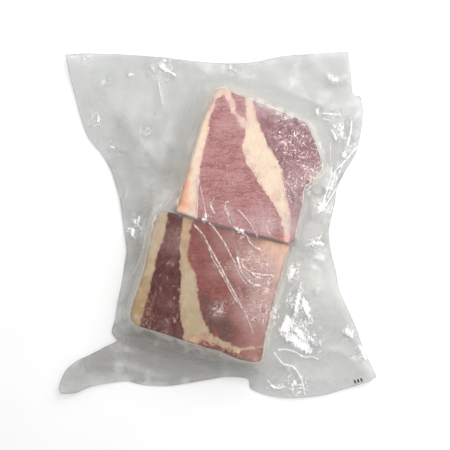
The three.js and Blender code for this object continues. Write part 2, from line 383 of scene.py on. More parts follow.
# Painted sheens of the film on the meat, soft pale streaks in its colour, likewise.
MEAT_PAINTED_SHEENS = (
    (3.4, 0.6, ((236, 247), (241, 262), (250, 277), (266, 287))),
    (3.0, 0.5, ((247, 244), (256, 260), (268, 270), (281, 272))),
    (2.4, 0.4, ((262, 288), (266, 302), (272, 318))),
    (2.8, 0.5, ((226, 203), (230, 214), (236, 226))),
    (2.4, 0.4, ((211, 200), (212, 208), (216, 219))),
    (2.0, 0.4, ((197, 172), (200, 192), (202, 212))),
    (2.4, 0.35, ((256, 300), (262, 320), (266, 338))),
    (2.6, 0.4, ((286, 178), (294, 190), (298, 204))),
    (2.0, 0.45, ((235, 264), (241, 278), (252, 290))),
    (2.0, 0.32, ((196, 226), (208, 246), (221, 268), (238, 300), (250, 325))),
    (2.0, 0.32, ((207, 222), (222, 240), (232, 258))),
    (1.8, 0.32, ((237, 209), (250, 224), (259, 239))),
    (1.8, 0.3, ((232, 227), (246, 236), (262, 251))),
)
# Broad, soft folds in the slack film: (height, half-width, points in the photograph).
SOFT_FOLDS = (
    (3.2, 9.0, ((300, 286), (303, 305), (311, 325), (319, 356))),
    (2.2, 7.0, ((276, 338), (290, 333), (304, 334), (318, 353))),
    (1.6, 6.0, ((272, 350), (283, 364), (297, 372), (304, 396))),
    (1.6, 6.0, ((340, 326), (350, 333), (357, 345), (365, 362))),
    (2.4, 9.0, ((336, 160), (328, 185), (322, 204), (315, 221), (306, 244), (300, 270))),
    (2.0, 8.0, ((357, 142), (346, 160), (338, 182), (336, 205), (330, 232))),
    (1.6, 7.0, ((352, 114), (350, 130), (344, 153))),
    (1.2, 6.0, ((322, 76), (335, 83), (349, 79))),
    (0.6, 7.0, ((294, 60), (292, 72), (286, 84))),
    (0.7, 8.0, ((148, 57), (152, 68), (160, 94), (163, 118))),
    (0.7, 8.0, ((156, 63), (168, 70), (185, 84))),
    (0.5, 9.0, ((100, 82), (118, 116), (146, 150), (166, 176))),
    (0.5, 9.0, ((112, 160), (124, 190), (130, 220), (128, 250))),
    (1.6, 7.0, ((145, 232), (141, 252), (133, 268), (122, 292), (116, 320))),
    (1.0, 8.0, ((190, 62), (205, 72), (222, 80))),
    (0.8, 8.0, ((252, 86), (276, 98), (300, 106), (318, 112))),
    (1.6, 8.0, ((128, 336), (160, 345), (190, 352), (222, 362))),
    (1.4, 7.0, ((118, 350), (150, 358), (186, 364), (216, 374))),
    (1.2, 7.0, ((90, 364), (122, 366), (150, 376), (176, 380))),
    (1.2, 7.0, ((238, 364), (262, 372), (272, 392))),
    (1.4, 7.0, ((74, 382), (88, 366), (108, 356), (124, 348))),
    (1.6, 9.0, ((128, 342), (112, 352), (100, 368), (92, 386))),
    (1.2, 6.0, ((286, 262), (300, 256), (314, 258), (328, 264))),
    (1.4, 8.0, ((318, 352), (340, 352), (358, 366), (368, 376))),
    (1.0, 8.0, ((322, 250), (330, 280), (340, 310), (352, 330))),
)
# Crushed spots of film: (x, y, radius in the photograph, how crushed).
CRUSHED_ON_MEAT = (
    (240, 231, 9, 0.9), (205, 219, 6, 0.6), (256, 262, 19, 0.95), (284, 130, 15, 0.7),
    (296, 146, 22, 0.85), (308, 166, 17, 1.0), (298, 184, 17, 1.0), (290, 196, 10, 0.7),
    (292, 216, 9, 0.5), (252, 256, 10, 0.5), (264, 310, 18, 0.95), (272, 221, 8, 0.8),
    (244, 300, 14, 0.5), (222, 268, 9, 0.5), (218, 311, 10, 0.7), (262, 284, 15, 0.95),
)
CRUSHED = (
    (296, 300, 12, 1.0), (299, 322, 15, 1.2), (308, 342, 13, 1.2), (286, 330, 10, 1.0),
    (296, 384, 12, 0.9), (274, 382, 8, 0.7), (316, 243, 8, 0.9), (290, 272, 9, 0.9),
    (349, 332, 8, 0.7), (360, 352, 8, 0.7), (334, 118, 9, 0.6), (345, 130, 12, 0.7),
    (349, 150, 9, 0.6), (332, 180, 8, 0.6), (320, 206, 9, 0.8), (332, 80, 8, 0.4),
    (346, 78, 5, 0.4), (165, 68, 12, 0.6), (152, 72, 8, 0.4), (108, 80, 7, 0.5),
    (129, 74, 4, 0.4), (86, 58, 5, 0.5), (98, 120, 8, 0.4), (112, 147, 7, 0.5),
    (136, 228, 11, 1.0), (231, 68, 8, 0.4), (255, 72, 5, 0.3), (148, 131, 7, 0.4),
    (124, 150, 7, 0.3), (320, 112, 6, 0.6), (123, 345, 8, 0.3), (317, 292, 4, 0.5),
)
# Film lying double or bunched up, painted paler as painted light as well: (x, y, radius in the
# photograph, how much).
BUNCHED_AND_LIT = (
    (300, 322, 17, 0.5), (306, 272, 18, 0.7), (318, 206, 18, 0.8), (321, 178, 15, 1.3),
    (316, 190, 8, 1.0), (310, 232, 16, 0.7), (325, 284, 40, 0.65), (340, 312, 34, 0.4),
    (345, 360, 34, 0.25), (300, 380, 26, 0.25), (235, 70, 40, 0.2), (150, 75, 50, 0.15),
    (76, 80, 24, 0.25), (100, 120, 26, 0.3), (345, 165, 10, 0.3),
)
# The same on the blocks' edges, and beside them on the web across their notch, where the paler film
# also lifts the shade as painted light.
BUNCHED_AND_LIT_ON_MEAT = (
    (252, 98, 5, 0.9), (260, 101, 6, 1.2), (270, 105, 6, 1.2), (280, 109, 6, 1.2),
    (291, 114, 6, 1.1), (301, 119, 6, 0.8), (236, 92, 5, 0.6), (222, 89, 6, 0.5),
    (309, 126, 5, 0.6), (192, 217, 7, 0.5), (180, 213, 5, 0.5), (155, 215, 9, 0.8),
    (151, 228, 7, 0.6), (148, 242, 6, 0.5), (129, 320, 7, 0.5),
)
LIT_WEB = ((164, 204, 18, 0.9), (154, 218, 10, 0.6))
WEB_CORNERS = ((158, 212), (171, 200))
# Painted shade: film darkened and thickened where shade falls beside and below the blocks and
# towards the lower left: (x, y, radius, how much).
PAINTED_SHADE = (
    (130, 132, 24, 0.5), (122, 172, 28, 0.58), (162, 162, 20, 0.55), (134, 205, 24, 0.56),
    (126, 252, 22, 0.68), (120, 300, 14, 0.4), (112, 335, 18, 0.85), (100, 360, 22, 1.1),
    (318, 100, 16, 0.25), (300, 62, 14, 0.4), (329, 222, 9, 0.25),
    (76, 380, 22, 0.75), (140, 350, 30, 1.05), (175, 362, 30, 1.05), (208, 368, 26, 0.95),
    (240, 374, 22, 0.6), (150, 336, 9, 1.0), (166, 341, 9, 1.1), (182, 346, 9, 1.0),
    (198, 351, 8, 0.8), (134, 330, 8, 0.7),
)

# Mesh spacing in millimetres.
FILM_SPACING = 1.2
BASE_SPACING = 2.2
WALL_RINGS = (-0.6, 9.0, 0.8)
MEAT_SPACING = 1.15
MEAT_BASE_SPACING = 2.4
SIDE_RINGS = 25
CURVE_STEPS = 14
CURVE_TENSION = 0.4
# How clear the even points stay of the outline and of extra points, in spacings.
CLEAR_OF_OUTLINE = 0.55
CLEAR_OF_EXTRA = 0.62

# Random relief: seeds, the facets of crushed film and the folds that pull at the blocks.
RELIEF_SEEDS = {"upper": 11, "lower": 12, "film": 13}
FACET_SEED = 7
FOLD_SEED = 2024
FACET_SIZE = 15
FACET_SHRINK = 11.4
CRUSH_GAIN = 1.6
TENSION_SPACING = 9.0
TENSION_TURN = 0.45
TENSION_LENGTH = (14, 46)
TENSION_HEIGHT = (0.3, 1.0)
TENSION_WIDTH = (4.0, 9.0)

# Three ink bars: their place in the photograph, then their turn, pitch and length.
MARK_PLACE = (357.5, 380)
MARK_TURN = math.radians(20)
MARK_PITCH = 3.0
MARK_LENGTH = 3.2

# The stage, in metres but for the floor's drop, which is in millimetres.
FLOOR_HALF = 1.6
FLOOR_CELLS = 12
FLOOR_DROP = 0.3
KEY_PLACE = (0.36, 0.46, 0.80)
KEY_SIDE = 0.90
FILL_PLACE = (0.15, 0.20, 1.5)
FILL_SIDE = 1.1
GLINT_PLACE = (0.26, 0.34, 0.74)
GLINT_SIDE = 0.06


def from_photo(points, height):
    """Millimetres in the pack's frame, of photograph points that lie at that height."""
    nearer = 1 - height / CAMERA_HEIGHT
    points = np.array(points, float)
    middle = np.array(LOOKED_AT)
    seen = middle + (points - middle) * nearer - np.array(PACK_MIDDLE)
    return seen * PIXEL * (1, -1)


def curve_through(points, closed):
    """The smooth curve through the points, as a fine polyline."""
    points = np.array(points, float)
    if closed:
        run = np.vstack([points[-1], points, points[:2]])
    else:
        run = np.vstack([2 * points[0] - points[1], points, 2 * points[-1] - points[-2]])
    before, start, end, after = run[:-3], run[1:-2], run[2:-1], run[3:]
    leave = CURVE_TENSION * (end - before)
    arrive = CURVE_TENSION * (after - start)
    share = np.linspace(0, 1, CURVE_STEPS, endpoint=False)[:, None, None]
    curve = (
        start * (2 * share**3 - 3 * share**2 + 1)
        + leave * (share**3 - 2 * share**2 + share)
        + end * (3 * share**2 - 2 * share**3)
        + arrive * (share**3 - share**2)
    )
    curve = curve.transpose(1, 0, 2).reshape(-1, 2)
    return curve if closed else np.vstack([curve, points[-1]])


def evenly(curve, spacing, closed):
    """The curve again, with points an even spacing apart."""
    if closed:
        curve = np.vstack([curve, curve[0]])
    along = np.concatenate([[0], np.cumsum(np.hypot(*np.diff(curve, axis=0).T))])
    count = max(2, round(along[-1] / spacing))
    stations = np.linspace(0, along[-1], count + 1)
    if closed:
        stations = stations[:-1]
    return np.stack([np.interp(stations, along, curve[:, axis]) for axis in (0, 1)], 1)


def distance_to(points, curve, closed):
    """Distance from each point to the polyline; on a closed one, positive inside it."""
    starts = curve if closed else curve[:-1]
    ends = np.roll(curve, -1, 0) if closed else curve[1:]
    x, y = points[:, 0], points[:, 1]
    nearest = np.full(len(points), np.inf)
    inside = np.zeros(len(points), bool)
    for (ax, ay), (bx, by) in zip(starts, ends):
        dx, dy = bx - ax, by - ay
        share = np.clip(((x - ax) * dx + (y - ay) * dy) / (dx * dx + dy * dy + 1e-12), 0, 1)
        gap = (x - ax - share * dx) ** 2 + (y - ay - share * dy) ** 2
        np.minimum(nearest, gap, out=nearest)
        if closed and ay != by:
            crosses = (ay > y) != (by > y)
            inside ^= crosses & (x < ax + (y - ay) * dx / dy)
    nearest = np.sqrt(nearest)
    return np.where(inside, nearest, -nearest) if closed else nearest


def eased(value, low, high):
    """0 below low, 1 above high and smooth between them."""
    share = np.clip((value - low) / (high - low), 0, 1)
    return share * share * (3 - 2 * share)


class Relief:
    """Smooth random relief between -1 and 1 over the plane, alike on every run."""

    SIDE = 128

    def __init__(self, seed):
        self.table = np.random.default_rng(seed).uniform(-1, 1, (self.SIDE, self.SIDE))

    def __call__(self, x, y, size):
        u, v = x / size + 40.3, y / size + 40.7
        column, row = np.floor(u).astype(int), np.floor(v).astype(int)
        across, along = u - column, v - row
        across = across * across * (3 - 2 * across)
        along = along * along * (3 - 2 * along)

        def corner(right, up):
            return self.table[(column + right) % self.SIDE, (row + up) % self.SIDE]

        low = corner(0, 0) * (1 - across) + corner(1, 0) * across
        high = corner(0, 1) * (1 - across) + corner(1, 1) * across
        return low * (1 - along) + high * along


def counterclockwise(ring):
    return ring if signed_area(ring) > 0 else ring[::-1]


def signed_area(ring):
    """Area inside a ring, negative where it runs clockwise."""
    x, y = ring.T
    return 0.5 * np.sum(x * np.roll(y, -1) - np.roll(x, -1) * y)


def even_triangles(outline, spacing, extra=None):
    """Triangles of even size inside a closed outline, whose points come first.
    The extra points are kept, and the even ones stay clear of them."""
    low, high = outline.min(0), outline.max(0)
    columns = np.arange(low[0], high[0], spacing)
    rows = np.arange(low[1], high[1], spacing * math.sqrt(0.75))
    x, y = np.meshgrid(columns, rows)
    x[1::2] += spacing / 2
    points = np.stack([x.ravel(), y.ravel()], 1)
    if extra is not None and len(extra):
        cell = spacing * CLEAR_OF_EXTRA
        taken = {(int(a), int(b)) for a, b in np.floor(extra / cell)}
        cells = np.floor(points / cell).astype(int)
        free = [(int(a), int(b)) not in taken for a, b in cells]
        points = np.vstack([points[free], extra])
    points = points[distance_to(points, outline, True) > spacing * CLEAR_OF_OUTLINE]
    count = len(outline)
    edges = [(corner, (corner + 1) % count) for corner in range(count)]
    flat, _, faces, *_ = delaunay_2d_cdt(
        [Vector(p) for p in np.vstack([outline, points]).tolist()], edges, [], 0, 1e-6, False
    )
    flat = np.array([tuple(p) for p in flat])
    faces = np.array(faces)
    inside = distance_to(flat[faces].mean(1), outline, True) > 0
    return flat, without_ears(faces[inside].tolist(), count)


def without_ears(faces, count):
    """The faces, where one that cuts off a sharp corner of the outline has its inner edge
    turned, so that two sheets that share their outline share no face and no inner edge."""
    for ear in [face for face in faces if max(face) < count]:
        for tip in ear:
            sides = [point for point in ear if point != tip]
            if all((tip - side) % count in (1, count - 1) for side in sides):
                beyond = next(f for f in faces if f != ear and set(sides) < set(f))
                far = next(point for point in beyond if point not in sides)
                faces.remove(ear)
                faces.remove(beyond)
                faces += [[tip, side, far] for side in sides]
                break
    return faces


def mesh_piece(name, points, faces, material):
    """A smooth-shaded piece of millimetre points that rides on the pack."""
    mesh = bpy.data.meshes.new(name)
    mesh.from_pydata((np.asarray(points) * MM).tolist(), [], faces)
    mesh.validate()
    mesh.shade_smooth()
    mesh.materials.append(material)
    piece = bpy.data.objects.new(name, mesh)
    bpy.context.scene.collection.objects.link(piece)
    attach(piece, BODY)
    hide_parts(NODE)
    return piece


def give_field(piece, name, values):
    """Stores one number per point for the material to read."""
    field = piece.data.attributes.new(name, "FLOAT", "POINT")
    field.data.foreach_set("value", np.asarray(values, np.float32))


# Shader maths.


class Wire:
    """A shader value that takes part in Python expressions."""

    def __init__(self, graph, socket):
        self.graph = graph
        self.socket = socket

    def __add__(self, other):
        return self.graph.math("ADD", self, other)

    def __sub__(self, other):
        return self.graph.math("SUBTRACT", self, other)

    def __mul__(self, other):
        return self.graph.math("MULTIPLY", self, other)

    def __rsub__(self, other):
        return self.graph.math("SUBTRACT", other, self)

    def __abs__(self):
        return self.graph.math("ABSOLUTE", self)

    def __lt__(self, other):
        return self.graph.math("LESS_THAN", self, other)

    __radd__ = __add__
    __rmul__ = __mul__

    def to(self, node, name):
        """Links this value to a node's socket."""
        self.graph.tree.links.new(self.socket, self.graph.entry(node, name))


class Graph:
    """A material's node tree, written as expressions."""

    def __init__(self, name):
        self.material = bpy.data.materials.new(name)
        self.material.use_nodes = True
        self.tree = self.material.node_tree
        self.tree.nodes.clear()

    @staticmethod
    def entry(node, name):
        """The socket of that name or identifier that takes a value."""
        exact = [s for s in node.inputs if s.enabled and s.identifier == name]
        return (exact or [s for s in node.inputs if s.enabled and s.name == name])[0]

    def node(self, kind, settings=None, **sockets):
        """Adds a node: its settings first, then its sockets' values or links."""
        made = self.tree.nodes.new(kind)
        for name, value in (settings or {}).items():
            setattr(made, name, value)
        for name, value in sockets.items():
            name = name.replace("__", " ")
            if isinstance(value, Wire):
                value.to(made, name)
            else:
                self.entry(made, name).default_value = value
        return made

    def wire(self, node, output=0):
        return Wire(self, node.outputs[output])

    def math(self, operation, first, second=0.0):
        made = self.node("ShaderNodeMath", {"operation": operation})
        for socket, value in zip(made.inputs, (first, second)):
            if isinstance(value, Wire):
                self.tree.links.new(value.socket, socket)
            else:
                socket.default_value = value
        return self.wire(made)

    def eased(self, value, low, high):
        """0 below low, 1 above high and smooth between them."""
        made = self.node(
            "ShaderNodeMapRange", {"interpolation_type": "SMOOTHSTEP"},
            Value=value, From__Min=low, From__Max=high,
        )
        return self.wire(made)

    def blend(self, share, first, second):
        """One colour turning into another as share goes from 0 to 1."""
        made = self.node("ShaderNodeMix", {"data_type": "RGBA"}, Factor_Float=share)
        for name, value in (("A_Color", first), ("B_Color", second)):
            if isinstance(value, Wire):
                value.to(made, name)
            else:
                self.entry(made, name).default_value = (*value[:3], 1)
        return Wire(self, next(s for s in made.outputs if s.identifier == "Result_Color"))

    def place(self, scale=(1, 1, 1)):
        """Place on the pack in millimetres, stretched by scale."""
        where = self.node("ShaderNodeTexCoord")
        made = self.node("ShaderNodeVectorMath", {"operation": "MULTIPLY"})
        self.tree.links.new(where.outputs["Object"], made.inputs[0])
        made.inputs[1].default_value = [1000 * s for s in scale]
        return self.wire(made)

    def noise(self, size, detail=2.0, scale=(1, 1, 1), rough=0.5, bend=0.0):
        """Cloudy noise from 0 to 1, with features about size millimetres wide."""
        made = self.node(
            "ShaderNodeTexNoise", Vector=self.place(scale), Scale=1 / size, Detail=detail,
            Roughness=rough, Distortion=bend,
        )
        return self.wire(made)

    def field(self, name):
        """A number that the mesh carries."""
        return Wire(self, self.node(
            "ShaderNodeAttribute", {"attribute_type": "GEOMETRY", "attribute_name": name}
        ).outputs["Fac"])

    def bump(self, height, depth, strength=1.0):
        """A normal from a height of 0 to 1, depth in millimetres."""
        made = self.node(
            "ShaderNodeBump", Height=height, Distance=depth * MM, Strength=strength
        )
        return self.wire(made)

    def finish(self, **sockets):
        """The Principled surface of the material."""
        surface = self.node("ShaderNodeBsdfPrincipled", None, **sockets)
        output = self.node("ShaderNodeOutputMaterial")
        self.tree.links.new(surface.outputs[0], output.inputs[0])
        return self.material


def meat_material(block, look):
    """Frozen lean with grain and marbling, cream fat and patches of frost."""
    graph = Graph(f"frozen_brisket_{block}")
    ragged = graph.noise(8, 6, rough=0.62, bend=0.4) * 7 - 3.5
    ragged = ragged + graph.noise(2.4, 4, scale=(1.3, 0.6, 1), rough=0.6) * 2.6 - 1.3
    fat_depth = graph.field("fat") + ragged
    fat = graph.eased(fat_depth, -0.9, 0.9)
    other = graph.eased(graph.field("second_muscle") + ragged * 0.6, -1.2, 1.2)

    grain = graph.noise(1.5, 4, scale=(0.36, 1, 0.5), rough=0.7)
    strand = graph.noise(3.4, 3, scale=(0.16, 1, 0.5), rough=0.6, bend=0.5)
    lean = graph.blend(
        graph.eased(grain * 0.6 + strand * 0.4, 0.4, 0.6), look.lean_dark, look.lean
    )
    mottle = graph.noise(3.6, 4, scale=(1, 0.55, 1), rough=0.62)
    muscle = graph.blend(graph.eased(mottle, 0.32, 0.68), look.other_dark, look.other)
    lean = graph.blend(other, lean, muscle)
    pale = graph.eased(graph.noise(20, 3), 0.42, 0.78) * (0.5 - other * 0.35)
    lean = graph.blend(pale, lean, look.lean_pale)
    dark = graph.field("dark") * graph.eased(graph.noise(6, 3), 0.2, 0.55)
    lean = graph.blend(dark, lean, look.dark_lean)

    vein_line = abs(graph.noise(12, 4, rough=0.6, bend=1.2) - 0.5)
    vein = (1 - graph.eased(vein_line, 0.004, 0.03)) * graph.eased(graph.noise(17, 1), 0.5, 0.68)
    fleck = graph.eased(graph.noise(4.4, 4, scale=(1.7, 0.6, 1), rough=0.62), 0.57, 0.68)
    fleck = fleck * (0.25 + other * 0.75) * graph.eased(graph.noise(10, 2), 0.36, 0.56)
    marbled = graph.blend(vein * 0.4 + fleck * look.flecks, lean, look.marbling)

    streaks = graph.noise(2.6, 4, scale=(1.4, 0.35, 1), rough=0.6)
    creamy = graph.noise(7, 5, rough=0.65) * 0.6 + streaks * 0.5
    creamy = graph.blend(graph.eased(creamy, 0.3, 0.75), look.fat_deep, look.fat)
    pink = graph.eased(fat_depth, 3.4, 0.3) * graph.eased(graph.noise(5, 2), 0.3, 0.6)
    pink = graph.math("MAXIMUM", pink * 0.6, graph.field("pink") * graph.noise(3, 3) * 1.3)
    creamy = graph.blend(pink, creamy, look.fat_pink)
    creamy = graph.blend(
        graph.field("yellow") * graph.eased(graph.noise(6, 3), 0.25, 0.55), creamy,
        look.fat_yellow,
    )
    warm = graph.field("warm") * graph.eased(graph.noise(5, 3), 0.1, 0.56)
    creamy = graph.blend(warm, creamy, look.fat_orange)
    rind = graph.eased(graph.noise(1.9, 3, rough=0.6), 0.47, 0.58)
    speck = rind * graph.field("specks")
    edge_of_fat = graph.eased(graph.field("fat"), 3.2, 0.4)
    creamy = graph.blend(speck * (0.35 + edge_of_fat * 0.6), creamy, look.brown)
    colour = graph.blend(fat, marbled, creamy)
    colour = graph.blend(speck * (1 - fat) * 0.6, colour, look.brown)
    crumb = graph.eased(graph.noise(2.3, 3, rough=0.6), 0.5, 0.58) * graph.field("specks")
    colour = graph.blend(crumb * (1 - fat) * 0.8, colour, look.fat_pink)

    peach = graph.field("peach") * (0.25 + graph.noise(5, 4, scale=(1.4, 0.6, 1)) * 1.2)
    colour = graph.blend(graph.math("MINIMUM", peach, 0.9), colour, look.fat_orange)

    crystal = graph.eased(graph.noise(1.7, 5, rough=0.75), 0.4, 0.7)
    frost = graph.field("frost") * (0.62 + crystal * 0.25 + graph.noise(7, 4, rough=0.6) * 0.4)
    dust = graph.eased(graph.noise(1.2, 3, rough=0.7), 0.53, 0.68) * look.dust
    colour = graph.blend(frost + dust, colour, look.frost)

    fibres = grain * (1 - fat) * 0.6 + graph.noise(0.9, 4, rough=0.7) * 0.5 + frost * 0.6
    return graph.finish(
        Base__Color=colour,
        Roughness=0.45 + graph.noise(3, 3) * 0.25 + frost * 0.2,
        Specular__IOR__Level=0.2,
        Normal=graph.bump(fibres + fat * 0.4, 0.5),
    )


def strokes(graph, size, scale, bend):
    """Many short, thin, curved strokes, as where film is finely crushed, used as painted glints and
    painted shadow strokes.
    """
    line = abs(graph.noise(size, 2, scale=scale, rough=0.5, bend=bend) - 0.5)
    broken = graph.eased(graph.noise(size * 0.7, 2, scale=(1, 1, 0.4)), 0.42, 0.56)
    return (1 - graph.eased(line, 0.006, 0.042)) * broken


def film_material(look):
    """Clear film: see-through on the meat, grey where slack, white along its creases.
    Its glints, sheen, edge highlight, bounce light and some shade are painted into it.
    """
    graph = Graph("vacuum_film")
    slack = graph.field("slack")
    crushed = graph.field("crushed")
    milky = graph.eased(graph.noise(28, 4, scale=(1, 1, 0.2), rough=0.6), 0.3, 0.75)
    cloud = graph.noise(4.5, 4, scale=(1, 1, 0.2), rough=0.65)
    flow = graph.eased(graph.noise(9, 4, scale=(0.22, 1, 0.2), rough=0.6, bend=0.5), 0.3, 0.7)
    # Painted glints of finely crushed film as light strokes, with painted shadow strokes between
    # them.
    light = graph.math(
        "MAXIMUM",
        strokes(graph, 8.0, (1.2, 0.7, 0.3), 1.2),
        strokes(graph, 6.0, (0.7, 1.2, 0.3), 0.8),
    )
    shadow = strokes(graph, 6.6, (1.2, 0.8, 0.3), 1.2) * crushed * (1 - slack)
    painted_glint_strokes = light * graph.math("MINIMUM", crushed * 1.3, 1.0)
    # Painted glints: streaks of the film painted white where it would mirror the lights.
    torn = graph.noise(3.2, 4, scale=(1.3, 0.4, 1), rough=0.62, bend=0.5) * 1.8 - 0.9
    painted_glare = graph.eased(graph.field("painted_glare") + torn, 0.5, 0.7)
    # Creases whitened: partly the film's own whitening along a fold, partly a painted highlight.
    wobble = graph.noise(3.0, 4, rough=0.65) * 0.36 - 0.18
    crease = graph.eased(graph.field("crease") + wobble, 0.25, 0.6)
    crease = crease * (0.5 + graph.eased(cloud, 0.35, 0.65) * 0.55)
    # Gathered film: thicker film bunched round the blocks, painted pale as well to lift the shade
    # on its steep walls.
    gathered_and_lit = graph.field("gathered_and_lit")
    # Painted shade: the film darker where shade falls round the blocks.
    painted_shade = graph.field("painted_shade")
    # Painted shade: the film over the gap takes the brown-grey of the shaded gap.
    bridge = graph.field("bridge")
    # Painted highlight: a pale line along the blocks' edges, over their shaded rims.
    edge = graph.field("edge") * (0.6 + cloud * 0.7)
    # Painted bounce light: film beside the meat paler and warm, as if lit by light off the meat.
    near = graph.field("painted_bounce")
    # Whiteness: creases, partly painted highlight, with painted glint strokes and painted glints.
    white = graph.math("MINIMUM", crease * 0.95 + painted_glint_strokes * 0.95 + painted_glare * look.painted_glare, 1.0)
    # Painted sheen: soft pale streaks on the film over the meat.
    white = graph.math("MAXIMUM", white, graph.field("painted_sheen") * (0.2 + cloud * 1.4))
    cover = (
        look.haze_on_meat
        + slack * (look.haze - look.haze_on_meat)
        + slack * (milky * 0.03 + cloud * 0.03 - 0.03)
        + gathered_and_lit * 0.28
        + painted_shade * (0.08 + flow * 0.14)
        + bridge * (0.45 + cloud * 0.4)
        + near * 0.12
        + edge * 0.42
        + shadow * 0.42
        + white * look.crease_and_highlight_whitening
    )
    ink = generic_mark(graph)
    # Gathered film, painted pale: partly thicker film, partly painted light.
    shade = graph.blend(graph.math("MINIMUM", gathered_and_lit, 1.0), look.tint, look.gathered_and_lit_tint)
    # Painted bounce light beside the meat.
    shade = graph.blend(near * 0.7, shade, look.painted_bounce_tint)
    painted_shade_colour = graph.blend(near, look.painted_shade_tint, look.painted_shade_warm_tint)
    # Painted shade, warmer beside the meat.
    shade = graph.blend(graph.math("MINIMUM", painted_shade, 1.0) * (1.0 - flow * 0.4), shade, painted_shade_colour)
    # Painted highlight along the blocks' edges.
    shade = graph.blend(graph.math("MINIMUM", edge, 1.0), shade, look.edge_highlight_tint)
    # Painted shade over the gap.
    shade = graph.blend(bridge, shade, look.gap_shade_tint)
    shade = graph.blend(shadow, shade, look.shadow_tint)
    # White creases, painted glint strokes and painted sheen turn the film pale.
    shade = graph.blend(white, shade, graph.blend(slack, look.pleat_and_highlight_tint, look.crease_and_glint_tint))
    # Painted glints turn the film's colour white.
    shade = graph.blend(painted_glare, shade, look.crease_and_glint_tint)
    shade = graph.blend(ink, shade, look.ink)
    level = (1, 1, 0.05)
    soft = graph.noise(9, 3, scale=level, rough=0.5, bend=0.6)
    sharp = abs(graph.noise(5.0, 3, scale=level, rough=0.5, bend=1.5) - 0.5) * 2
    return graph.finish(
        Base__Color=shade,
        Roughness=look.gloss + slack * (1 - crushed) * 0.16 + cloud * 0.06,
        IOR=1.6,
        Specular__IOR__Level=0.9,
        Alpha=graph.math("MAXIMUM", graph.math("MINIMUM", cover, 0.95), ink * 0.95),
        Normal=graph.bump(soft * 0.4 + sharp * (0.07 + crushed * 0.6), look.crinkle_depth),
    )


def generic_mark(graph):
    """Three short ink bars near the bag's lower right corner."""
    x, y = from_photo([MARK_PLACE], BORDER_HEIGHT)[0]
    place = graph.node("ShaderNodeSeparateXYZ", Vector=graph.place())
    across = graph.wire(place, 0) - float(x)
    along = graph.wire(place, 1) - float(y)
    turned = across * math.cos(MARK_TURN) + along * math.sin(MARK_TURN)
    upright = along * math.cos(MARK_TURN) - across * math.sin(MARK_TURN)
    stripe = graph.math("PINGPONG", turned + 50 * MARK_PITCH, MARK_PITCH / 2)
    bars = (stripe < MARK_PITCH * 0.26) * (abs(turned) < 1.3 * MARK_PITCH)
    return bars * (abs(upright) < MARK_LENGTH / 2)


# Shapes.


def outward_of(ring):
    """Unit vectors that point out of a counterclockwise ring, smoothed along it."""
    way = np.roll(ring, -1, 0) - np.roll(ring, 1, 0)
    way /= np.hypot(*way.T)[:, None]
    outward = np.stack([way[:, 1], -way[:, 0]], 1)
    for _ in range(3):
        outward = (outward + np.roll(outward, 1, 0) + np.roll(outward, -1, 0)) / 3
    return outward


def soft_maximum(heights, softness):
    """The highest of the heights at each point, with its corners smoothed."""
    highest = np.max(heights, 0)
    total = sum(np.exp((height - highest) / softness) for height in heights)
    return highest + softness * np.log(total)


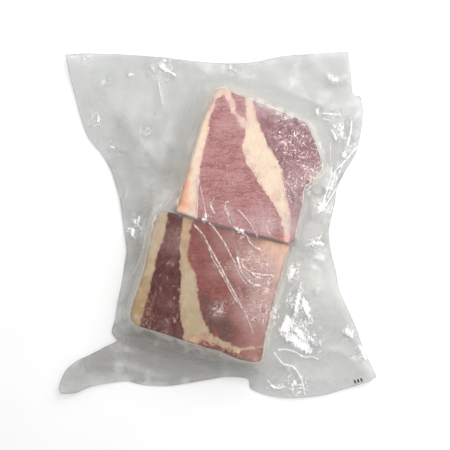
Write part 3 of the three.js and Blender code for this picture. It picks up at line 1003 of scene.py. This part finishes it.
class Pack:
    """The pack's curves and heights, which its film and its blocks share."""

    def __init__(self, sizes):
        self.height = {"upper": sizes.upper_height / MM, "lower": sizes.lower_height / MM}
        self.relief = {name: Relief(seed) for name, seed in RELIEF_SEEDS.items()}
        outer = {
            block: from_photo(OUTER_EDGES[block], self.height[block]) for block in self.height
        }
        self.block = {
            block: counterclockwise(curve_through(
                np.vstack([outer[block], from_photo(GAP_EDGES[block], self.height[block])]),
                True,
            ))
            for block in self.height
        }
        web = from_photo(WEB_CORNERS, self.height["lower"])
        self.shoulder = curve_through(
            np.vstack([outer["upper"][2:], outer["lower"][:-2], web]), True
        )
        self.rim = np.vstack([curve_through(run, False)[:-1] for _, run in EDGE_RUNS])
        self.gap = from_photo(GAP, self.height["lower"])

    def near_gap(self, points):
        """1 along the gap between the blocks and 0 away from it."""
        return 1 - eased(distance_to(points, self.gap, False), *GAP_REACH)

    def block_top(self, block, points, outline, skin=0.0):
        """Height of a block's top over each point, rounding over and then falling
        steeply outside its outline, which skin widens."""
        height, relief = self.height[block], self.relief[block]
        depth = distance_to(points, outline, True) + skin
        x, y = points.T
        uneven = 0.7 * relief(x, y, 34) + 0.22 * relief(y, x, 9) + 0.08 * relief(x, y, 3.1)
        radius = EDGE_RADIUS + 0.5 * relief(x, y, 15)
        for place_x, place_y, reach, more in WIDE_ROUNDS[block]:
            away = np.hypot(*(points - from_photo([(place_x, place_y)], height)).T)
            radius = np.maximum(radius, EDGE_RADIUS + more * (1 - eased(away, 0, reach)))
        radius = radius + (GAP_EDGE_RADIUS - radius) * self.near_gap(points)
        inset = np.clip(radius - depth, 0, radius)
        rounded = np.sqrt(np.maximum(radius**2 - inset**2, 0))
        top = height - radius + rounded + uneven * eased(depth, 0, 9)
        return np.where(depth > 0, top, height - radius + WALL_FALL * depth)

    def over_blocks(self, points):
        """Height of the film where it lies on the blocks and spans the gap."""
        inside = distance_to(points, self.shoulder, True)
        web = from_photo([WEB_CORNERS[0]], self.height["lower"])
        near_web = 1 - eased(np.hypot(*(points - web).T), *WEB_REACH)
        fall = WALL_FALL - WEB_EASING * near_web
        bridge = self.height["lower"] - GAP_SAG + np.minimum(inside - BRIDGE_INSET, 0) * fall
        tops = [
            self.block_top(block, points, outline, FILM_SKIN)
            for block, outline in self.block.items()
        ]
        return soft_maximum([*tops, bridge], BLOCK_SOFTNESS)

    def border(self, points):
        """Height of the middle of the border over the table."""
        x, y = points.T
        height = BORDER_HEIGHT + RIPPLE_HEIGHT * np.cos(RIPPLE_COUNT * np.arctan2(y, x))
        for lift, run in EDGE_RUNS:
            away = np.hypot(x - run[0][0], y - run[0][1])
            height = height + lift * np.maximum(0, 1 - away / CORNER_REACH) ** 2
        relief = self.relief["film"]
        return height + 0.8 * relief(x, y, 27) + 0.4 * relief(y, x, 13)

    def tent(self, points):
        """For each point, how far down the tent it is: 0 at the shoulder, 1 at the foot."""
        x, y = points.T
        out = -distance_to(points, self.shoulder, True) - FILM_STANDOFF
        to_rim = distance_to(points, self.rim, True)
        across, along = x / BLOCKS_REACH[0], y / BLOCKS_REACH[1]
        weight = across**2 + along**2 + 1e-9
        width = (
            np.where(across > 0, TENT_WIDTH["right"], TENT_WIDTH["left"]) * across**2
            + np.where(along > 0, TENT_WIDTH["top"], TENT_WIDTH["bottom"]) * along**2
        ) / weight
        room = np.maximum(out, 0) + np.maximum(to_rim, 0)
        foot = np.minimum(width, TENT_SHARE * room + 1)
        return out / foot, out

    def top_film(self, points):
        """Height of the upper film before its creases, and how far down the tent it is."""
        down, out = self.tent(points)
        border = self.border(points) + BORDER_GAP / 2
        fall = eased(points[:, 1], *STEP_BAND)
        step = self.height["upper"] - self.height["lower"]
        shoulder = self.height["lower"] + step * fall - SHOULDER_DROP
        tent = border + (shoulder - border) * np.clip(1 - down, 0, 1) ** TENT_STEEPNESS
        top = soft_maximum([self.over_blocks(points), tent], TENT_SOFTNESS)
        return top + FILM_LIFT, down, out

    def base_film(self, points):
        """Height of the lower film, flat under the blocks."""
        down, out = self.tent(points)
        border = self.border(points) - BORDER_GAP / 2
        return border * eased(down, 0, BASE_TUCK), down, out


def crest(points, line, half_width, steepness=1.3):
    """1 along a line and 0 half_width away from it, dying away at both ends."""
    low, high = line.min(0) - half_width * 1.5, line.max(0) + half_width * 1.5
    near = np.where(((points > low) & (points < high)).all(1))[0]
    result = np.zeros(len(points))
    if not len(near):
        return result
    spots = points[near]
    away = distance_to(spots, line, False)
    ends = np.minimum(np.hypot(*(spots - line[0]).T), np.hypot(*(spots - line[-1]).T))
    length = np.hypot(*np.diff(line, axis=0).T).sum()
    fade = eased(ends, 0, min(length * 0.35, 2 + half_width))
    result[near] = np.maximum(0, 1 - away / half_width) ** steepness * fade
    return result


def patches(points, spots, height, relief, soft=False):
    """Strength at each point of round photograph patches (x, y, radius, strength)."""
    x, y = points.T
    rough, core, reach = (0.3, 0.0, 1.3) if soft else (1.0, 0.4, 1.1)
    ragged = 1 + rough * (0.35 * relief(x, y, 7) + 0.2 * relief(y, x, 3))
    result = np.zeros(len(points))
    for place_x, place_y, radius, strength in spots:
        away = np.hypot(*(points - from_photo([(place_x, place_y)], height)).T) * ragged
        spot = strength * (1 - eased(away, radius * core, radius * reach))
        result = result + spot * (1 - result) if soft else np.maximum(result, spot)
    return result


class Facets:
    """Flat facets with sharp edges between them, like crushed film."""

    TRIES = 9000

    def __init__(self, seed, low, high, spacing):
        """spacing gives the size of the facets near each point."""
        rng = np.random.default_rng(seed)
        tried = rng.uniform(low, high, (self.TRIES, 2))
        apart = spacing(tried)
        kept = np.zeros((0, 2))
        sizes = []
        for point, size in zip(tried, apart):
            if not len(kept) or np.hypot(*(kept - point).T).min() > size:
                kept = np.vstack([kept, point])
                sizes.append(size)
        self.points, _, self.faces, *_ = delaunay_2d_cdt(
            [Vector(p) for p in kept.tolist()], [], [], 0, 1e-6, False
        )
        self.points = np.array([tuple(p) for p in self.points])
        self.heights = rng.uniform(-1, 1, len(kept)) * sizes

    def __call__(self, points):
        """Height at each point, for slopes of about 1."""
        result = np.zeros(len(points))
        order = np.argsort(points[:, 0])
        across = points[order, 0]
        for face in self.faces:
            corners = self.points[list(face)]
            left, right = np.searchsorted(across, (corners[:, 0].min(), corners[:, 0].max()))
            spots = order[left:right]
            y = points[spots, 1]
            spots = spots[(y >= corners[:, 1].min()) & (y <= corners[:, 1].max())]
            shares = np.linalg.solve(
                np.vstack([corners.T, np.ones(3)]),
                np.vstack([points[spots].T, np.ones(len(spots))]),
            )
            inside = (shares > -1e-6).all(0)
            result[spots[inside]] = self.heights[list(face)] @ shares[:, inside]
        return result


def tension_lines(rng, pack):
    """Soft random folds that run out from the blocks' edges into the slack film."""
    outline = evenly(pack.shoulder, TENSION_SPACING, True)
    middle = outline.mean(0)
    for start in outline:
        way = (start - middle) / np.hypot(*(start - middle))
        turn = rng.normal(0, TENSION_TURN)
        way = np.array((
            way[0] * math.cos(turn) - way[1] * math.sin(turn),
            way[0] * math.sin(turn) + way[1] * math.cos(turn),
        ))
        side = np.array((-way[1], way[0]))
        length = rng.uniform(*TENSION_LENGTH)
        line = np.array([
            start + way * 3, start + way * length * 0.5 + side * rng.normal(0, 2.5),
            start + way * length + side * rng.normal(0, 5),
        ])
        yield rng.uniform(*TENSION_HEIGHT), rng.uniform(*TENSION_WIDTH), line


def film_relief(points, down, pack, share):
    """Height that folds and creases add to the film at each point, and the marks that
    they leave there: creases, crushed spots, painted glints and painted sheen."""
    rng = np.random.default_rng(FOLD_SEED)
    low, high = pack.rim.min(0) - 4, pack.rim.max(0) + 4
    relief = pack.relief["film"]
    x, y = points.T
    slack = eased(down, -0.05, 0.2)

    def how_crushed(places):
        return np.maximum(
            patches(places, CRUSHED, BORDER_HEIGHT, relief),
            patches(places, CRUSHED_ON_MEAT, pack.height["upper"], relief),
        )

    def facet_size(places):
        return FACET_SIZE - FACET_SHRINK * np.clip(how_crushed(places) * CRUSH_GAIN, 0, 1)

    crushed = how_crushed(points)

    facets = Facets(FACET_SEED, low, high, facet_size)(points)
    added = facets * (0.05 * slack + crushed * (0.12 + 0.2 * slack))
    added += slack * (0.4 * relief(x, y, 21) + 0.22 * relief(y, x, 11))
    # Crease whiteness: the film's own whitening along a fold together with a painted highlight.
    crease = np.zeros(len(points))
    for folds, above in ((MEAT_PLEATS, pack.height["upper"]), (SHARP_CREASES, BORDER_HEIGHT)):
        for height, half_width, whiteness, line in folds:
            line = curve_through(from_photo(line, above), False)
            added += height * crest(points, line, half_width)
            crease = np.maximum(crease, whiteness * crest(points, line, half_width * 1.5, 1.0))
    # Painted glints: bright streaks laid into the film's colour, not reflections.
    painted_glare = np.zeros(len(points))
    for streaks, above in ((MEAT_PAINTED_GLINTS, pack.height["lower"]), (SLACK_PAINTED_GLINTS, BORDER_HEIGHT)):
        for half_width, whiteness, line in streaks:
            line = curve_through(from_photo(line, above), False)
            painted_glare = np.maximum(painted_glare, whiteness * crest(points, line, half_width * 1.6, 0.7))
    # Painted sheen of the film on the meat.
    painted_sheen = np.zeros(len(points))
    for half_width, whiteness, line in MEAT_PAINTED_SHEENS:
        line = curve_through(from_photo(line, pack.height["upper"]), False)
        painted_sheen = np.maximum(painted_sheen, whiteness * crest(points, line, half_width, 1.0))
    for height, half_width, line in SOFT_FOLDS:
        line = curve_through(from_photo(line, BORDER_HEIGHT), False)
        added += slack * height * crest(points, line, half_width, 1.4)
    for height, half_width, line in tension_lines(rng, pack):
        added += slack * height * crest(points, curve_through(line, False), half_width, 1.4)
    marks = {"crease": crease, "crushed": crushed, "painted_glare": painted_glare, "painted_sheen": painted_sheen}
    return added * share, marks


def pleat_points(pack):
    """Points along and beside the finest creases, so that the mesh can hold them."""
    found = []
    for folds, height in ((MEAT_PLEATS, pack.height["upper"]), (SHARP_CREASES, BORDER_HEIGHT)):
        for _, width, _, line in folds:
            line = evenly(curve_through(from_photo(line, height), False), 0.9, False)
            way = np.gradient(line, axis=0)
            way /= np.hypot(*way.T)[:, None]
            side = np.stack([-way[:, 1], way[:, 0]], 1)
            found += [line, line + side * width, line - side * width]
    return np.vstack(found)


def wall_points(pack):
    """Points in even rings round the blocks, where the film falls steeply."""
    ring = evenly(counterclockwise(pack.shoulder), FILM_SPACING, True)
    outward = outward_of(ring)
    return np.vstack([ring + outward * step for step in np.arange(*WALL_RINGS)])


def add_film_marks(marks, top, down, out, pack):
    """Adds to the marks where the upper film is bunched and painted pale, where painted shade lies,
    where it spans the gap in painted shade, where painted highlight runs along the blocks' edges,
    where painted bounce light lies near the meat, and where it is slack."""
    relief = pack.relief["film"]
    x, y = top.T
    ragged_out = out + 3.0 * relief(x, y, 12)
    # Gathered film round the blocks: thicker, and painted pale to lift the shade on the tent's
    # walls.
    gathered_and_lit = eased(out, -2.0, 1.0) * (1 - eased(ragged_out, 2.0, GATHER_WIDTH))
    gathered_and_lit = gathered_and_lit * (1 - pack.near_gap(top)) * (0.7 + 0.3 * relief(y, x, 16))
    tent = 0.5 * eased(out, 0, 3) * (1 - eased(down, 0.3, 1.0))
    gathered_and_lit = np.maximum(gathered_and_lit, tent)
    on_meat = np.max([distance_to(top, outline, True) for outline in pack.block.values()], 0)
    web = patches(top, LIT_WEB, pack.height["lower"], relief) * (1 - eased(on_meat, -1.5, 0.5))
    clear = 1 - np.clip(web * 1.4, 0, 1)
    # Bunched film, painted paler as painted light too.
    bunched = patches(top, BUNCHED_AND_LIT, BORDER_HEIGHT, relief)
    hazed_and_lit = patches(top, BUNCHED_AND_LIT_ON_MEAT, pack.height["upper"], relief)
    marks["gathered_and_lit"] = np.max([gathered_and_lit, bunched, web, hazed_and_lit], 0)
    # Painted shade beside and below the blocks.
    marks["painted_shade"] = patches(top, PAINTED_SHADE, BORDER_HEIGHT, relief)
    # Painted shade: film over the gap, brown-grey like the shade in it.
    away = distance_to(top, pack.gap, False)
    marks["bridge"] = (1 - eased(away, 0.2, 1.6)) * eased(-out, 0, 2) * clear
    # Painted highlight: a pale, ragged line along the blocks' outer edges.
    off_meat = -on_meat
    outer = 1 - pack.near_gap(top)
    ragged_off = off_meat + 0.5 * relief(x, y, 4) + 0.35 * relief(y, x, 9)
    marks["edge"] = np.clip(1 - abs(ragged_off - 0.1) / 1.7, 0, 1) * outer
    # Painted bounce light: warm, pale film beside the meat, fading to half on the right.
    near = eased(off_meat, -0.5, 1.0) * np.exp(-np.maximum(off_meat - 1, 0) / 6.0)
    marks["painted_bounce"] = near * outer * (1 - 0.5 * eased(x, 20, 60))
    marks["slack"] = eased(out, -2.0, 3.0)


def build_film(sizes, look):
    """The bag: its upper and lower film share their rim, so it is one closed envelope."""
    pack = Pack(sizes)
    rim = evenly(pack.rim, FILM_SPACING, True)
    top, top_faces = even_triangles(
        rim, FILM_SPACING, np.vstack([pleat_points(pack), wall_points(pack)])
    )
    base, base_faces = even_triangles(rim, BASE_SPACING)
    rim_count = len(rim)

    height, down, out = pack.top_film(top)
    added, marks = film_relief(top, down, pack, sizes.crease_height)
    base_height, base_down, _ = pack.base_film(base)
    base_added, _ = film_relief(base, base_down, pack, sizes.crease_height)
    flat = eased(base_down, 0.1, 1.0)
    base_height = np.maximum(base_height + base_added * flat, 0.0)

    edge = np.arange(rim_count)
    height = height + added
    height[edge] = (height[edge] + base_height[edge]) / 2
    points = np.vstack([
        np.column_stack([top, height]),
        np.column_stack([base, base_height])[rim_count:],
    ])
    shift = len(top) - rim_count

    def lower(index):
        return index if index < rim_count else index + shift

    faces = [oriented(top, face, True) for face in top_faces]
    faces += [
        tuple(lower(i) for i in oriented(base, face, False)) for face in base_faces
    ]
    film = mesh_piece("bag_film", points, faces, film_material(look))
    add_film_marks(marks, top, down, out, pack)
    for name, values in marks.items():
        under = np.full(len(base) - rim_count, 1.0 if name == "slack" else 0.0)
        give_field(film, name, np.concatenate([values, under]))
    return film


def oriented(points, face, upward):
    """The face's corners in the order that turns it up or down."""
    (ax, ay), (bx, by), (cx, cy) = (points[i] for i in face)
    turns_up = (bx - ax) * (cy - ay) - (by - ay) * (cx - ax) > 0
    return face if turns_up == upward else face[::-1]


def side_rings(block, ring, shoulder, relief):
    """Rings of points down a block's rough, leaning side, from below its shoulder to its
    foot."""
    lean = SIDE_LEAN[block]
    outward = outward_of(ring)
    toward = np.clip(outward @ np.array(lean["way"]), 0, 1) ** 2
    around = np.arange(len(ring)) * MEAT_SPACING
    wrapped = np.minimum(around, around[-1] - around)
    rings = []
    for share in np.linspace(0, 1, SIDE_RINGS + 1)[1:]:
        level = shoulder + (FOOT_RADIUS - shoulder) * share
        rough = 0.5 * relief(wrapped, level, 11) + 0.18 * relief(level, wrapped, 3.3)
        offset = toward * lean["reach"] * share**1.2 + (rough - 0.25) * eased(share, 0, 0.15)
        spots = ring + outward * offset[:, None]
        rings.append(np.column_stack([spots, level]))
    return rings


def build_block(block, sizes, look):
    """One frozen block: an uneven top, rough sides and a flat underside."""
    pack = Pack(sizes)
    relief = pack.relief[block]
    ring = evenly(pack.block[block], MEAT_SPACING, True)
    top, top_faces = even_triangles(ring, MEAT_SPACING)
    top_height = pack.block_top(block, top, ring) - FILM_LIFT
    rings = side_rings(block, ring, top_height[:len(ring)], relief)

    foot = rings[-1][:, :2]
    base, base_faces = even_triangles(foot, MEAT_BASE_SPACING)
    depth = distance_to(base, foot, True)
    inset = np.clip(FOOT_RADIUS - depth, 0, FOOT_RADIUS)
    base_height = FOOT_RADIUS - np.sqrt(FOOT_RADIUS**2 - inset**2)
    base_height = base_height + UNDERSIDE_LIFT

    count = len(ring)
    points = [np.column_stack([top, top_height])] + rings
    points.append(np.column_stack([base, base_height])[count:])
    faces = [oriented(top, face, True) for face in top_faces]
    above = np.arange(count)
    start = len(top)
    for _ in rings:
        below = start + np.arange(count)
        start += count
        following = np.roll(np.arange(count), -1)
        faces += np.column_stack(
            [above, below, below[following], above[following]]
        ).tolist()
        above = below
    base_start = start - count

    def lower(index):
        return base_start + index

    faces += [
        tuple(lower(i) for i in oriented(base, face, False)) for face in base_faces
    ]
    points = np.vstack(points)
    piece = mesh_piece(f"brisket_{block}", points, faces, meat_material(block, look))
    add_meat_fields(piece, block, points, pack)
    return piece


def band_outline(rows):
    """A band's outline from its rows of (y, left, right)."""
    left = [(x, y) for y, x, _ in rows]
    right = [(x, y) for y, _, x in rows]
    return curve_through(left, False), curve_through(right[::-1], False)


def add_meat_fields(piece, block, points, pack):
    """The fields that the meat's material reads: where the fat, the second muscle, the
    dark and orange patches and the frost lie. They run down through the block."""
    height = pack.height[block]
    depth = height - points[:, 2]
    spots = points[:, :2] + depth[:, None] * (0.06, 0.02)
    fat = np.full(len(points), -np.inf)
    for rows in FAT_BANDS[block]:
        outline = from_photo(np.vstack(band_outline(rows)), height)
        fat = np.maximum(fat, distance_to(spots, outline, True))
    for half_width, ribbon in FAT_RIBBONS[block]:
        line = curve_through(from_photo(ribbon, height), False)
        fat = np.maximum(fat, half_width - distance_to(spots, line, False))
    give_field(piece, "fat", fat)
    second = from_photo(SECOND_MUSCLE[block], height)
    give_field(piece, "second_muscle", distance_to(spots, second, True))
    for name, spots_of_it in MEAT_PATCHES[block].items():
        soft = name in ("frost", "peach")
        field = patches(spots, spots_of_it, height, pack.relief[block], soft)
        give_field(piece, name, field)


# What a user can change.


def colour_property(name, description, default):
    return bpy.props.FloatVectorProperty(
        name=name, description=description, default=default, size=3, min=0, max=1,
        subtype="COLOR",
    )


def length_property(name, description, default):
    return bpy.props.FloatProperty(
        name=name, description=description, default=default, min=0, unit="LENGTH",
        subtype="DISTANCE", precision=4,
    )


def share_property(name, description, default):
    return bpy.props.FloatProperty(
        name=name, description=description, default=default, min=0, max=1, subtype="FACTOR"
    )


class PackSizes(bpy.types.PropertyGroup):
    """Sizes of the blocks and the film's relief."""

    upper_height: length_property(
        "Upper block", "Thickness of the block at the bag's upper end", CAD_HIGH.z
    )
    lower_height: length_property(
        "Lower block", "Thickness of the block at the bag's lower end", CAD_HIGH.z - 3 * MM
    )
    crease_height: bpy.props.FloatProperty(
        name="Creases", description="Height of the film's creases as a share", default=1.0,
        min=0, max=2, subtype="FACTOR",
    )


class UpperMeatLook(bpy.types.PropertyGroup):
    """Colours of the upper block."""

    lean: colour_property("Lean", "Main muscle", (0.44, 0.207, 0.199))
    lean_dark: colour_property("Lean grain", "Darker grain", (0.28, 0.105, 0.102))
    lean_pale: colour_property("Pale lean", "Frosted lean", (0.54, 0.31, 0.30))
    other: colour_property("Second muscle", "Muscle past the seam", (0.33, 0.175, 0.192))
    other_dark: colour_property("Second muscle grain", "Its darker grain", (0.22, 0.098, 0.113))
    dark_lean: colour_property("Dark lean", "Dark patches", (0.16, 0.055, 0.05))
    marbling: colour_property("Marbling", "Fine fat in the lean", (0.62, 0.36, 0.31))
    fat: colour_property("Fat", "Cream fat", (0.80, 0.67, 0.51))
    fat_deep: colour_property("Deep fat", "Deeper cream", (0.75, 0.57, 0.44))
    fat_pink: colour_property("Pink fat", "Fat beside the lean", (0.67, 0.39, 0.345))
    fat_yellow: colour_property("Yellow fat", "Yellowed fat", (0.72, 0.52, 0.27))
    fat_orange: colour_property("Orange fat", "Fat at the outer edge", (0.82, 0.41, 0.26))
    brown: colour_property("Brown specks", "Dried specks", (0.34, 0.14, 0.07))
    frost: colour_property("Frost", "Ice crystals", (0.62, 0.45, 0.46))
    flecks: share_property("Flecks", "Share of pale flecks in the lean", 0.35)
    dust: share_property("Frost dust", "Share of fine frost all over", 0.5)


class LowerMeatShadedLook(bpy.types.PropertyGroup):
    """Colours of the lower block: its own tones, darkened all over as painted shade."""

    lean: colour_property("Lean", "Main muscle", (0.255, 0.080, 0.070))
    lean_dark: colour_property("Lean grain", "Darker grain", (0.185, 0.050, 0.043))
    lean_pale: colour_property("Pale lean", "Frosted lean", (0.32, 0.13, 0.115))
    other: colour_property("Second muscle", "Muscle beside the fat cap", (0.125, 0.040, 0.036))
    other_dark: colour_property("Second muscle grain", "Its darker grain", (0.065, 0.015, 0.013))
    dark_lean: colour_property("Dark lean", "Dark patches", (0.12, 0.054, 0.047))
    marbling: colour_property("Marbling", "Fine fat in the lean", (0.42, 0.24, 0.20))
    # Cream fat, darker than the upper block's as painted shade.
    fat: colour_property("Fat", "Cream fat", (0.49, 0.395, 0.27))
    fat_deep: colour_property("Deep fat", "Deeper cream", (0.405, 0.305, 0.20))
    fat_pink: colour_property("Pink fat", "Fat beside the lean", (0.42, 0.24, 0.17))
    fat_yellow: colour_property("Yellow fat", "Yellowed fat", (0.34, 0.23, 0.108))
    fat_orange: colour_property("Orange fat", "Fat at the outer edge", (0.84, 0.56, 0.37))
    brown: colour_property("Brown specks", "Dried specks", (0.16, 0.055, 0.035))
    frost: colour_property("Frost", "Ice crystals", (0.64, 0.43, 0.39))
    flecks: share_property("Flecks", "Share of pale flecks in the lean", 0.8)
    dust: share_property("Frost dust", "Share of fine frost all over", 0.12)


class FilmLook(bpy.types.PropertyGroup):
    """Finish of the film."""

    tint: colour_property("Tint", "Colour of the slack film", (0.44, 0.455, 0.44))
    # Colour of gathered film, pale as painted light on its shaded walls.
    gathered_and_lit_tint: colour_property("Gathered tint", "Film bunched round the blocks", (0.86, 0.85, 0.80))
    # Colour of the painted shade.
    painted_shade_tint: colour_property("Dull tint", "Film in thick folds", (0.20, 0.18, 0.15))
    # Colour of the painted shade over the gap.
    gap_shade_tint: colour_property("Gap tint", "Film over the gap", (0.40, 0.27, 0.24))
    # Colour of the painted shade beside the meat.
    painted_shade_warm_tint: colour_property("Dull warm tint", "The same beside meat", (0.20, 0.11, 0.085))
    # Colour of the painted bounce light beside the meat.
    painted_bounce_tint: colour_property("Warm tint", "Film right beside the meat", (0.78, 0.66, 0.54))
    # Colour of the painted highlight along the blocks' edges.
    edge_highlight_tint: colour_property("Edge tint", "Film along the blocks' edges", (0.95, 0.83, 0.74))
    shadow_tint: colour_property("Crushed shadow", "Dark strokes", (0.16, 0.07, 0.08))
    # Colour of whitened creases and of the painted glints.
    crease_and_glint_tint: colour_property("Crease tint", "Creases and crushed spots", (0.95, 0.95, 0.95))
    # Colour of the film's creases on the meat, partly a painted highlight.
    pleat_and_highlight_tint: colour_property("Pleat tint", "Creases of the film on the meat", (0.92, 0.62, 0.59))
    ink: colour_property("Ink", "Colour of the small printed bars", (0.02, 0.02, 0.02))
    haze: share_property("Haze", "How much one layer of slack film hides", 0.31)
    haze_on_meat: share_property("Haze on meat", "How much film drawn onto the meat hides", 0.02)
    # How much whitened creases, painted glints and painted sheen hide.
    crease_and_highlight_whitening: share_property("Crease whitening", "How much more a crease hides", 0.78)
    # Whiteness of the painted glints.
    painted_glare: share_property("Glare", "Whiteness of crushed spots", 0.8)
    gloss: share_property("Roughness", "Lowest roughness of the film", 0.12)
    crinkle_depth: bpy.props.FloatProperty(
        name="Crinkle depth", description="Depth of the finest crinkles in millimetres",
        default=0.4, min=0, max=3,
    )


class StageLook(bpy.types.PropertyGroup):
    """The floor and the light."""

    floor: colour_property("Floor", "Colour of the floor", (0.95, 0.95, 0.95))
    key_power: bpy.props.FloatProperty(
        name="Key light", description="Power of the key light", default=4.8, min=0,
        unit="POWER",
    )
    fill_power: bpy.props.FloatProperty(
        name="Fill light", description="Power of the wide light overhead", default=2.6, min=0,
        unit="POWER",
    )
    glint_power: bpy.props.FloatProperty(
        name="Glint light", description="Power of the small light that makes the film glint",
        default=1.1, min=0, unit="POWER",
    )
    sky: bpy.props.FloatProperty(
        name="Sky", description="Strength of the even light from all round", default=0.66,
        min=0, max=5,
    )


class MESH_OT_brisket_blocks(bpy.types.Operator):
    """Add both frozen blocks."""

    bl_idname = "mesh.brisket_blocks"
    bl_label = "Brisket blocks"
    bl_options = {"REGISTER", "UNDO"}

    def execute(self, context):
        scene = context.scene
        build_block("upper", scene.pack_sizes, scene.upper_meat)
        build_block("lower", scene.pack_sizes, scene.lower_meat)
        return {"FINISHED"}


class MESH_OT_bag_film(bpy.types.Operator):
    """Add the vacuum bag's film over the blocks."""

    bl_idname = "mesh.bag_film"
    bl_label = "Bag film"
    bl_options = {"REGISTER", "UNDO"}

    def execute(self, context):
        build_film(context.scene.pack_sizes, context.scene.film_look)
        return {"FINISHED"}


class SCENE_OT_plain_stage(bpy.types.Operator):
    """Add a plain floor, soft studio light and the camera."""

    bl_idname = "scene.plain_stage"
    bl_label = "Plain stage"
    bl_options = {"REGISTER", "UNDO"}

    def execute(self, context):
        look = context.scene.stage_look
        build_floor(look)
        build_lights(context.scene, look)
        build_camera(context.scene)
        return {"FINISHED"}


def build_floor(look):
    """A pale, matt floor with the faintest unevenness."""
    graph = Graph("pale_floor")
    tone = [0.97 * c for c in look.floor]
    colour = graph.blend(graph.noise(60, 3), tone, tuple(look.floor))
    material = graph.finish(
        Base__Color=colour, Roughness=0.7 + graph.noise(4, 3) * 0.15,
        Normal=graph.bump(graph.noise(1.5, 4), 0.02),
    )
    count = FLOOR_CELLS
    steps = np.linspace(-FLOOR_HALF, FLOOR_HALF, count + 1)
    points = [(x, y, -FLOOR_DROP * MM) for y in steps for x in steps]
    faces = [
        (row * (count + 1) + column, row * (count + 1) + column + 1,
         (row + 1) * (count + 1) + column + 1, (row + 1) * (count + 1) + column)
        for row in range(count) for column in range(count)
    ]
    mesh = bpy.data.meshes.new("floor")
    mesh.from_pydata(points, [], faces)
    mesh.materials.append(material)
    floor = bpy.data.objects.new("floor", mesh)
    bpy.context.scene.collection.objects.link(floor)


def aimed(thing, place):
    """Puts a light at that place, turned towards the pack."""
    thing.location = place
    thing.rotation_euler = (-Vector(place)).to_track_quat("-Z", "Y").to_euler()


def build_lights(scene, look):
    for name, power, side, place in (
        ("key_light", look.key_power, KEY_SIDE, KEY_PLACE),
        ("fill_light", look.fill_power, FILL_SIDE, FILL_PLACE),
        ("glint_light", look.glint_power, GLINT_SIDE, GLINT_PLACE),
    ):
        data = bpy.data.lights.new(name, "AREA")
        data.energy = power
        data.size = side
        light = bpy.data.objects.new(name, data)
        scene.collection.objects.link(light)
        aimed(light, place)
    world = bpy.data.worlds.new("soft_sky")
    world.use_nodes = True
    sky = world.node_tree.nodes["Background"]
    sky.inputs["Color"].default_value = (1, 1, 1, 1)
    sky.inputs["Strength"].default_value = look.sky
    scene.world = world


def build_camera(scene):
    """Straight down on the photograph's middle, with the photograph's frame."""
    data = bpy.data.cameras.new("camera")
    data.sensor_width = 36.0
    data.lens = data.sensor_width * CAMERA_HEIGHT / (PHOTO_SIDE * PIXEL)
    camera = bpy.data.objects.new("camera", data)
    scene.collection.objects.link(camera)
    x, y = from_photo([LOOKED_AT], 0)[0]
    camera.location = (x * MM, y * MM, CAMERA_HEIGHT * MM)
    scene.camera = camera
    scene.view_settings.view_transform = "Standard"


class VIEW3D_PT_brisket_pack(bpy.types.Panel):
    """The pack's sizes, finishes and operators."""

    bl_label = "Brisket pack"
    bl_space_type = "VIEW_3D"
    bl_region_type = "UI"
    bl_category = "Brisket pack"

    def draw(self, context):
        for group in GROUPS:
            box = self.layout.box()
            settings = getattr(context.scene, group)
            for name in settings.bl_rna.properties.keys():
                if name not in ("rna_type", "name"):
                    box.prop(settings, name)
        for operator in OPERATORS:
            self.layout.operator(operator.bl_idname)


GROUPS = {
    "pack_sizes": PackSizes,
    "upper_meat": UpperMeatLook,
    "lower_meat": LowerMeatShadedLook,
    "film_look": FilmLook,
    "stage_look": StageLook,
}
OPERATORS = (MESH_OT_brisket_blocks, MESH_OT_bag_film, SCENE_OT_plain_stage)
CLASSES = (*GROUPS.values(), *OPERATORS, VIEW3D_PT_brisket_pack)


def register():
    for cls in CLASSES:
        bpy.utils.register_class(cls)
    for name, cls in GROUPS.items():
        setattr(bpy.types.Scene, name, bpy.props.PointerProperty(type=cls))


def unregister():
    for name in GROUPS:
        delattr(bpy.types.Scene, name)
    for cls in reversed(CLASSES):
        bpy.utils.unregister_class(cls)


def main():
    register()
    bpy.ops.scene.plain_stage()
    bpy.ops.mesh.brisket_blocks()
    bpy.ops.mesh.bag_film()


if __name__ == "__main__":
    main()
